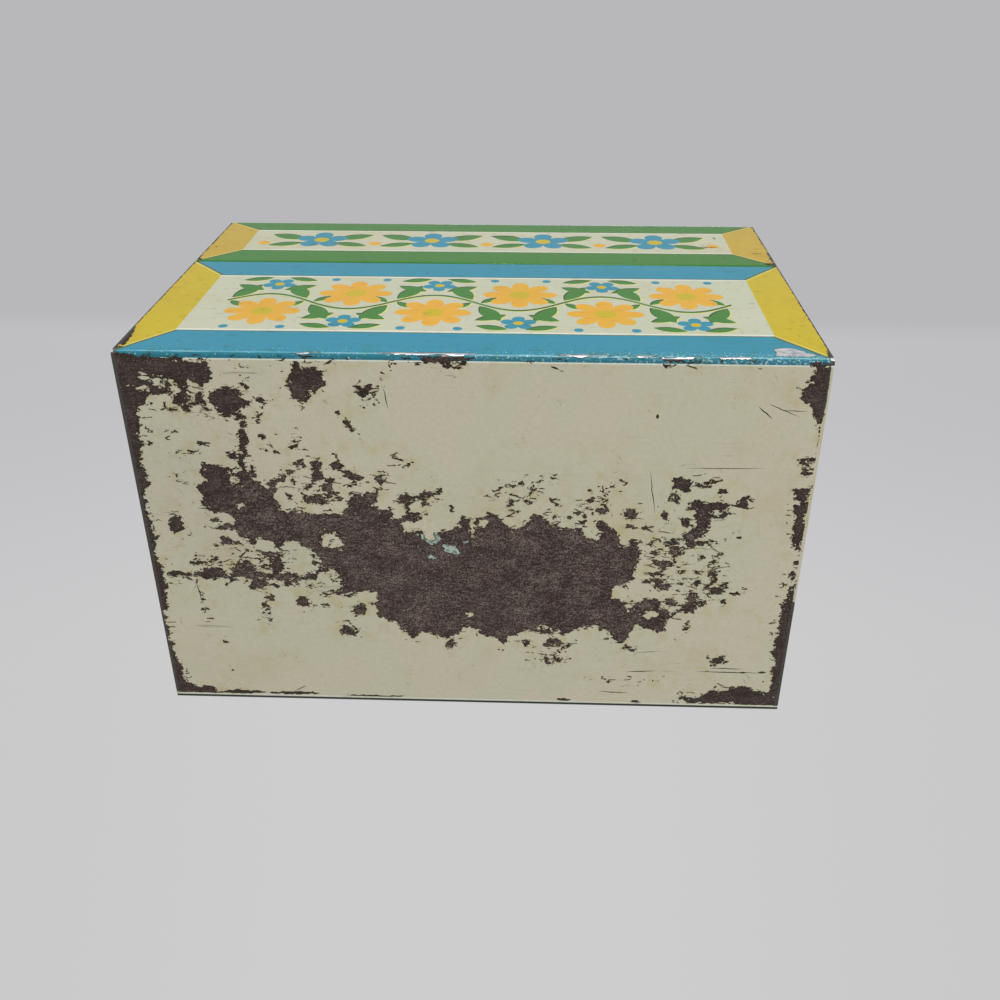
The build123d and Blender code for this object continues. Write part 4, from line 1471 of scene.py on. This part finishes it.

# On the bottom: an oval of painted shade at the left, thin scratches and ragged dark lines
LEFT_SHADE_PATCH = (-50.0, -8.0, 60.0, 34.0, 24.0)
SCRATCHES = (
    (36.2, 31.2, -3.4, 3.4, 0.12), (54.2, 29.9, -0.8, 3.8, 0.12), (55.0, 30.9, -0.4, 7.4, 0.13),
    (57.8, 30.9, 0.0, 0.9, 0.24), (61.9, 30.7, 0.0, 0.9, 0.27), (30.4, 37.0, 1.7, 3.5, 0.12),
    (37.0, 25.9, -5.0, 2.8, 0.07), (-57.5, 12.7, 84.6, 2.7, 0.11), (-38.5, 37.9, -31.8, 1.7, 0.11),
    (48.9, -18.7, -0.7, 8.1, 0.08), (35.5, -13.1, 80.4, 5.1, 0.09), (55.2, -30.6, 38.9, 2.0, 0.12),
    (58.5, -31.2, 22.6, 3.5, 0.09), (60.6, -31.1, 2.4, 2.4, 0.08), (-15.8, -32.5, 80.5, 2.4, 0.1),
    (35.3, -29.5, 90.0, 0.5, 0.3), (15.8, -39.1, 20.0, 0.9, 0.2),
)
RAGGED_LINES = (
    (-51.5, 39.3, -1.0, 5.6, 0.55), (-40.0, 39.3, -1.0, 6.0, 0.5), (-22.0, 39.6, 0.0, 7.0, 0.28),
    (19.5, 39.4, 0.0, 1.6, 0.5), (35.5, 39.6, 0.0, 1.2, 0.45),
)


def framed(bench, across, up, inner_half, outer_half, limits, bands, field, sides=YELLOW):
    """A panel in its mitred frame, around a field that is already drawn."""
    return bench.group(FRAME, Across=across, Up=up, Inner_Half=inner_half, Outer_Half=outer_half,
                       Field=field, Sides=sides, Low_Band=bands, High_Band=bands,
                       **limits)["Color"]


def row(bench, motif, across, up, middle, scale, reach, ground=PRINT_CREAM):
    """A motif repeated along the middle of a field, as far as its reach to each side."""
    raised = bench.minus(up, middle)
    return bench.group(motif, Across=across, Up=raised, Scale=scale, Reach=reach, Ground=ground)["Color"]


def round_the_bend(bench, panel, place, y, z, past):
    """The body's panel at its front fold: a painted shade below it, ended by a thin pale line, and a
    painted highlight along it."""
    # Painted shade: the print darkened below the fold, where the bend turns away from the light
    below = bench.product(bench.step(z, *BELOW_FOLD), bench.step(y, 1.0, -1.0))
    panel = bench.lay(panel, BEND_SHADE_TEAL, below, BEND_SHADE)
    panel = bench.mix(bench.step(past, PALE_STRIP + 0.04, PALE_STRIP - 0.04), panel, PALE_LINE)
    # Painted highlight: pale streaks along the fold where its gloss catches the lamp, not rubbed paint
    on_fold = bench.step(bench.absolute(bench.minus(z, FOLD_MIDDLE)), 0.2, 0.1)
    rubbed = bench.patches(bench.scaled(place, (0.25, 1.0, 1.0)), *FOLD_HIGHLIGHT_PATCHES)
    return bench.mix(bench.product(on_fold, rubbed, bench.step(y, 1.0, -1.0)), panel, FOLD_HIGHLIGHT)


def with_nicks(bench, panel, place, x, z):
    """The panel with pale nicks, more of them low down and most of all low down at the right."""
    limit = bench.line(bench.step(z, 7.0, 0.8), -0.13, 0.74)
    towards_right = bench.product(bench.step(x, -15.0, 45.0), bench.step(z, 6.0, 0.8))
    limit = bench.line(towards_right, -0.055, limit)
    nicks = bench.step(bench.minus(bench.noise(place, *NICK_NOISE), limit), 0.0, 0.03)
    return bench.lay(panel, NICK, nicks, 0.75)


def bottom_cream(bench, place, y, z):
    """The plain bottom: cream, darker at the left as painted shade, scratched, with a painted highlight
    and a painted shadow along the back fold."""
    # Painted shade: the cream darkened towards the left, where less light falls
    cream = bench.shade(CREAM, dot_in(bench, place, LEFT_SHADE_PATCH), LEFT_SHADE)
    lines = all_leaves(bench, bench.warped(place, 3.0, 0.5), SCRATCHES)
    lines = bench.most(lines, all_leaves(bench, bench.warped(place, 0.9, 1.1), RAGGED_LINES))
    cream = bench.mix(lines, cream, SPECK)
    at_back = bench.sum(y, z)
    # A painted highlight along the back fold, then its painted shadow where it meets the table
    cream = bench.lay(cream, PALE_LINE, bench.step(at_back, *BACK_FOLD_HIGHLIGHT), 0.6)
    painted_fold_shadow = bench.product(bench.step(at_back, *BACK_SHADOW), bench.step(z, *SHADOW_TOP))
    return bench.mix(painted_fold_shadow, cream, BACK_FOLD_SHADOW)


def body_print(bench, place):
    """Front and back of the body: framed panels, the front one running just round its bend, and the
    plain bottom."""
    x, y, z = bench.split(place)
    up = bench.sum(z, bench.minus(bench.absolute(y), HALF_DEPTH))
    vine = row(bench, VINE, x, up, VINE_MIDDLE, 1.0, 3 * VINE_CELL)
    panel = framed(bench, x, up, SIDE_INNER, HALF_WIDTH, BODY_LIMITS, BLUE, vine)
    ends_at = bench.step(y, -1.0, 1.0, -PRINT_ROUND_BEND, PRINT_ENDS_AT_BACK)
    past = bench.minus(up, ends_at)
    panel = round_the_bend(bench, panel, place, y, z, past)
    panel = with_nicks(bench, panel, place, x, z)
    cream = bottom_cream(bench, place, y, z)
    return bench.mix(bench.step(past, -0.04, 0.04), cream, panel)


def lid_print(bench, place):
    """Front and back of the lid with a garland, and its framed top with two facing vines."""
    x, y, z = bench.split(place)
    garland = row(bench, GARLAND, x, z, GARLAND_MIDDLE, 1.0, 2 * GARLAND_CELL + 1.55, LID_CREAM)
    panel = framed(bench, x, z, SIDE_INNER, HALF_WIDTH, LID_LIMITS, GREEN, garland, LID_YELLOW)
    vine = row(bench, VINE, x, bench.absolute(y), TOP_VINE_MIDDLE, 0.97, 2.91 * VINE_CELL, LID_CREAM)
    top = framed(bench, x, y, SIDE_INNER, HALF_WIDTH, TOP_LIMITS, GREEN, vine, LID_YELLOW)
    on_top = bench.step(z, HEIGHT - 0.5, HEIGHT - 0.45)
    return bench.mix(on_top, panel, top)


def end_print(bench, place):
    """An end: the body's and the lid's framed panels, one above the other, and cream below. The body's
    print runs on over the neck."""
    x, y, z = bench.split(place)
    vine = row(bench, VINE, y, z, VINE_MIDDLE, 0.84, 1.68 * VINE_CELL)
    garland = row(bench, GARLAND, y, z, GARLAND_MIDDLE, 0.56, 1.12 * GARLAND_CELL + 0.85, LID_CREAM)
    body = framed(bench, y, z, END_SIDE_INNER, HALF_DEPTH, BODY_LIMITS, BLUE, vine)
    lid = framed(bench, y, z, END_SIDE_INNER, HALF_DEPTH, LID_LIMITS, GREEN, garland, LID_YELLOW)
    off_neck = bench.step(bench.absolute(x), *CLEAR_OF_NECK)
    panels = bench.mix(bench.product(bench.step(z, SEAM - 0.01, SEAM + 0.01), off_neck), body, lid)
    return bench.mix(bench.step(z, *ENDS_CREAM_TOP), CREAM, panels)


# Finish of the printed walls
WALL_RAGGED = 0.4
WALL_DIRT = 0.25
WALL_DULL = 0.09

# Where a sheet's skin counts as outer, and where bare metal is deep enough to be rubbed bright
OUTER_SKIN = (0.86, 0.94)
RUBBED_DEPTH = (0.02, 0.12)
LIP_STRENGTH = 0.5
RUBBED_ROUGHNESS = 0.3
BARE_METALLIC = 0.35
RUBBED_METALLIC = 0.5
INSIDE_METALLIC = 0.6
GONE_HEIGHT = -0.05
SCRATCH_HEIGHT = -0.01


def rubbed_fold(bench, place):
    """1 on the outermost part of the long folds and on the front's scuff, where rubbing keeps the bare
    tin bright."""
    x, y, z = bench.split(place)
    out = bench.step(bench.absolute(y), HALF_DEPTH - 0.5, HALF_DEPTH - 0.35)
    low = bench.product(bench.step(z, 0.2, 0.3), bench.step(z, 1.2, 1.0), bench.step(y, 1.0, -1.0))
    high = bench.step(z, HEIGHT - 1.2, HEIGHT - 0.9)
    scuff = bench.product(bench.step(x, 54.0, 55.0), bench.step(x, 65.6, 65.0), bench.step(z, 8.0, 7.0))
    return bench.product(out, bench.most(low, high, scuff))


def wall_finish(bench, place):
    """Raggedness of worn edges, dirt and dullness of the printed walls, alike all over."""
    return WALL_RAGGED, WALL_DIRT, WALL_DULL


def body_finish(bench, place):
    """The same for the body, whose bottom is worn ragged, dirty and rubbed dull."""
    z = bench.split(place)[2]
    ragged = bench.step(z, 0.1, 0.3, 1.0, 0.2)
    return ragged, bench.step(z, 0.1, 0.6, 0.85, 0.22), bench.step(z, 0.1, 0.5, 0.26, 0.08)


def tin_material(name, print_of, finish_of, chips):
    """Printed tinplate: print, age and wear outside, plain tin inside and on the cut edges."""
    material, bench = new_material(name)
    place = bench.place()
    bare = bench.attribute("bare")
    outside = bench.step(bench.attribute("outside"), *OUTER_SKIN)
    ragged, dirt, dull = finish_of(bench, place)
    age = bench.group(AGE, Place=place, Color=print_of(bench, place), Bare=bare, Dirt=dirt)
    busy = bench.attribute("busy")
    wear = bench.group(RAGGED, Place=place, Bare=bare, Busy=busy, Ragged=ragged, Chips=chips)
    metal = bench.group(BARE_METAL, Place=place, Rim=wear["Rim"])
    tin = bench.group(PLAIN_TIN, Place=place)
    # The paint darkened along worn edges: dirt, and partly a painted shade of its thickness
    paint = bench.shade(age["Color"], bench.product(wear["Lip"], LIP_STRENGTH), LIP_DIRT_AND_SHADE)
    bright = bench.product(rubbed_fold(bench, place), bench.step(wear["Depth"], *RUBBED_DEPTH))
    colour = bench.mix(wear["Gone"], paint, bench.mix(bright, metal["Color"], metal["Bright"]))
    colour = bench.mix(outside, tin["Color"], colour)
    paint_rough = bench.sum(age["Gloss Loss"], dull)
    bare_rough = bench.blend(bright, metal["Roughness"], RUBBED_ROUGHNESS)
    rough = bench.blend(wear["Gone"], paint_rough, bare_rough)
    rough = bench.blend(outside, tin["Roughness"], rough)
    bare_share = bench.product(wear["Gone"], bench.blend(bright, BARE_METALLIC, RUBBED_METALLIC))
    metallic = bench.blend(outside, INSIDE_METALLIC, bare_share)
    height = bench.line(wear["Gone"], GONE_HEIGHT, bench.product(metal["Height"], wear["Gone"]))
    height = bench.line(age["Scratch"], SCRATCH_HEIGHT, height)
    height = bench.product(height, outside)
    shader = bench.add("ShaderNodeBsdfPrincipled", {
        "Base Color": colour, "Roughness": rough, "Metallic": metallic, "Normal": bench.bump(height),
        "Specular IOR Level": PRINT_SPECULAR})
    bench.put_out("ShaderNodeOutputMaterial", shader)
    return material


def wire_material():
    """Dull drawn steel wire: fine lines along x and faint brown spots."""
    material, bench = new_material("dull steel wire")
    place = bench.place()
    drawn = bench.noise(bench.scaled(place, (0.08, 4.0, 4.0)), *WIRE_NOISE)
    spots = bench.patches(place, *WIRE_PATCHES)
    colour = bench.mix(drawn, WIRE_DARK, WIRE_LIGHT)
    colour = bench.lay(colour, WIRE_BROWN, spots, 0.7)
    rough = bench.blend(spots, 0.34, 0.62)
    normal = bench.bump(bench.product(drawn, 0.01))
    metallic = bench.blend(spots, 0.95, 0.3)
    shader = bench.add("ShaderNodeBsdfPrincipled", {
        "Base Color": colour, "Roughness": rough, "Metallic": metallic, "Normal": normal})
    bench.put_out("ShaderNodeOutputMaterial", shader)
    return material


# ---------------------------------------------------------------- stage, lights and camera
# Lengths are in metres here.

BACKDROP_TOP = tint(184, 184, 186)
BACKDROP_NEAR = tint(195, 194, 197)
BACKDROP_LOW = tint(206, 205, 206)
BACKDROP_SIDES = (0.955, 0.955, 0.96, 1.0)
DOWN_IN_VIEW = (0.0, -0.9368, 0.3499)
FLOOR_DARK = tint(214, 214, 216)
FLOOR_LIGHT = tint(220, 220, 222)
FLOOR_HALF = 3.0
FLOOR_Z = -0.0003
CAMERA_PLACE = (0.01239, -0.11473, -0.18102)
CAMERA_RIGHT = (0.99934, 0.00135, 0.03626)
CAMERA_UP = (-0.01685, -0.86766, 0.49687)
CAMERA_AHEAD = (-0.03213, 0.49715, 0.86707)
CAMERA_LENS = 38.146
SENSOR = 36.0
NEAREST_SEEN = 0.005

# Name, place, what it looks at, size and power
LIGHTS = (
    ("front light", (-0.15, -0.75, -0.15), (0, 0, 0.04), 0.7, 0.6),
    ("lamp above the front", (0.05, -0.9, 0.08), (0, 0, 0.04), 0.2, 3.2),
    ("top light", (0.1, 0.2, 0.9), (0, 0, 0.05), 0.4, 2.4),
    ("bottom light", (0.32, -0.3, -0.52), (0, 0, 0), 0.5, 1.08),
)


def set_world():
    """A pale surround that is a little brighter low down in the photo's view, and a little darker
    towards both sides there."""
    world = bpy.data.worlds.new("pale studio")
    bench = empty_bench(world)
    way = bench.add("ShaderNodeTexCoord", {}, "Generated")
    depth = bench.vector("DOT_PRODUCT", way, DOWN_IN_VIEW, out="Value")
    lower = bench.mix(bench.step(depth, -0.02, -0.3), BACKDROP_NEAR, BACKDROP_LOW)
    across = bench.absolute(bench.sum(bench.split(way)[0], 0.05))
    lower = bench.shade(lower, bench.step(across, 0.1, 0.45), BACKDROP_SIDES)
    colour = bench.mix(bench.step(depth, 0.012, -0.012), BACKDROP_TOP, lower)
    shader = bench.add("ShaderNodeBackground", {"Color": colour, "Strength": 1.0})
    bench.put_out("ShaderNodeOutputWorld", shader)
    bpy.context.scene.world = world


def axes_matrix(right, up, ahead, place):
    """The matrix of a camera or lamp from its three directions and its place."""
    rows = [[right[i], up[i], -ahead[i], place[i]] for i in range(3)]
    return Matrix(rows + [[0, 0, 0, 1]])


def add_light(name, place, aim, size, power):
    """A square soft light at place, turned to look at aim, unseen by the camera."""
    light = bpy.data.lights.new(name, "AREA")
    light.shape = "SQUARE"
    light.size = size
    light.energy = power
    lamp = bpy.data.objects.new(name, light)
    ahead = np.array(aim, float) - np.array(place, float)
    ahead = ahead / np.linalg.norm(ahead)
    side = np.cross(ahead, (0.0, 0.0, 1.0) if abs(ahead[2]) < 0.9 else (0.0, 1.0, 0.0))
    side = side / np.linalg.norm(side)
    up = np.cross(side, ahead)
    lamp.matrix_world = axes_matrix(side, up, ahead, place)
    lamp.visible_camera = False
    bpy.context.scene.collection.objects.link(lamp)


def floor_material():
    """Pale, a little cloudy, seen by the camera alone and only from above, and fading far off."""
    material, bench = new_material("pale floor")
    place = bench.place()
    away = bench.length(place)
    cloud = bench.noise(place, *CLOUD_NOISE)
    colour = bench.mix(cloud, FLOOR_DARK, FLOOR_LIGHT)
    pale = bench.add("ShaderNodeBsdfDiffuse", {"Color": colour})
    clear = bench.add("ShaderNodeBsdfTransparent", {})
    seen = bench.add("ShaderNodeLightPath", {}, "Is Camera Ray")
    behind = bench.add("ShaderNodeNewGeometry", {}, "Backfacing")
    shown = bench.product(seen, bench.minus(1.0, behind), bench.step(away, 900.0, 350.0))
    shader = bench.add("ShaderNodeMixShader", {0: shown, 1: clear, 2: pale})
    bench.put_out("ShaderNodeOutputMaterial", shader)
    return material


def set_floor():
    """A square floor just under the box."""
    mesh = bpy.data.meshes.new("floor")
    turns = ((-1, -1), (1, -1), (1, 1), (-1, 1))
    corners = [(FLOOR_HALF * x, FLOOR_HALF * y, FLOOR_Z) for x, y in turns]
    mesh.from_pydata(corners, [], [(0, 1, 2, 3)])
    floor = bpy.data.objects.new("floor", mesh)
    bpy.context.scene.collection.objects.link(floor)
    mesh.materials.append(floor_material())


def set_camera():
    """The photo's view: from below the front, found from eight corners of the box."""
    camera = bpy.data.cameras.new("photo camera")
    camera.lens = CAMERA_LENS
    camera.sensor_width = SENSOR
    camera.clip_start = NEAREST_SEEN
    holder = bpy.data.objects.new("photo camera", camera)
    holder.matrix_world = axes_matrix(CAMERA_RIGHT, CAMERA_UP, CAMERA_AHEAD, CAMERA_PLACE)
    bpy.context.scene.collection.objects.link(holder)
    bpy.context.scene.camera = holder


# ---------------------------------------------------------------- putting it together

printed_body = tin_material("printed body tinplate", body_print, body_finish, 1.0)
printed_lid = tin_material("printed lid tinplate", lid_print, wall_finish, 0.5)
printed_end = tin_material("printed end tinplate", end_print, wall_finish, 0.7)

right_body_end = body_end_parts()
right_lid_end = lid_end_parts()
left_body_end = [mirrored(part) for part in right_body_end]
left_lid_end = [mirrored(part) for part in right_lid_end]

make_piece("body_wrap", body_wrap_parts(), printed_body, "box_body")
make_piece("lid_wrap", lid_wrap_parts(), printed_lid, "lid")
make_piece("body_end_right", right_body_end, printed_end, "box_body")
make_piece("body_end_left", left_body_end, printed_end, "box_body")
make_piece("lid_end_right", right_lid_end, printed_end, "lid")
make_piece("lid_end_left", left_lid_end, printed_end, "lid")

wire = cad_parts["hinge_wire"]
wire.data.materials.clear()
wire.data.materials.append(wire_material())

set_world()
for light in LIGHTS:
    add_light(*light)
set_floor()
set_camera()
bpy.context.scene.view_settings.view_transform = "Standard"
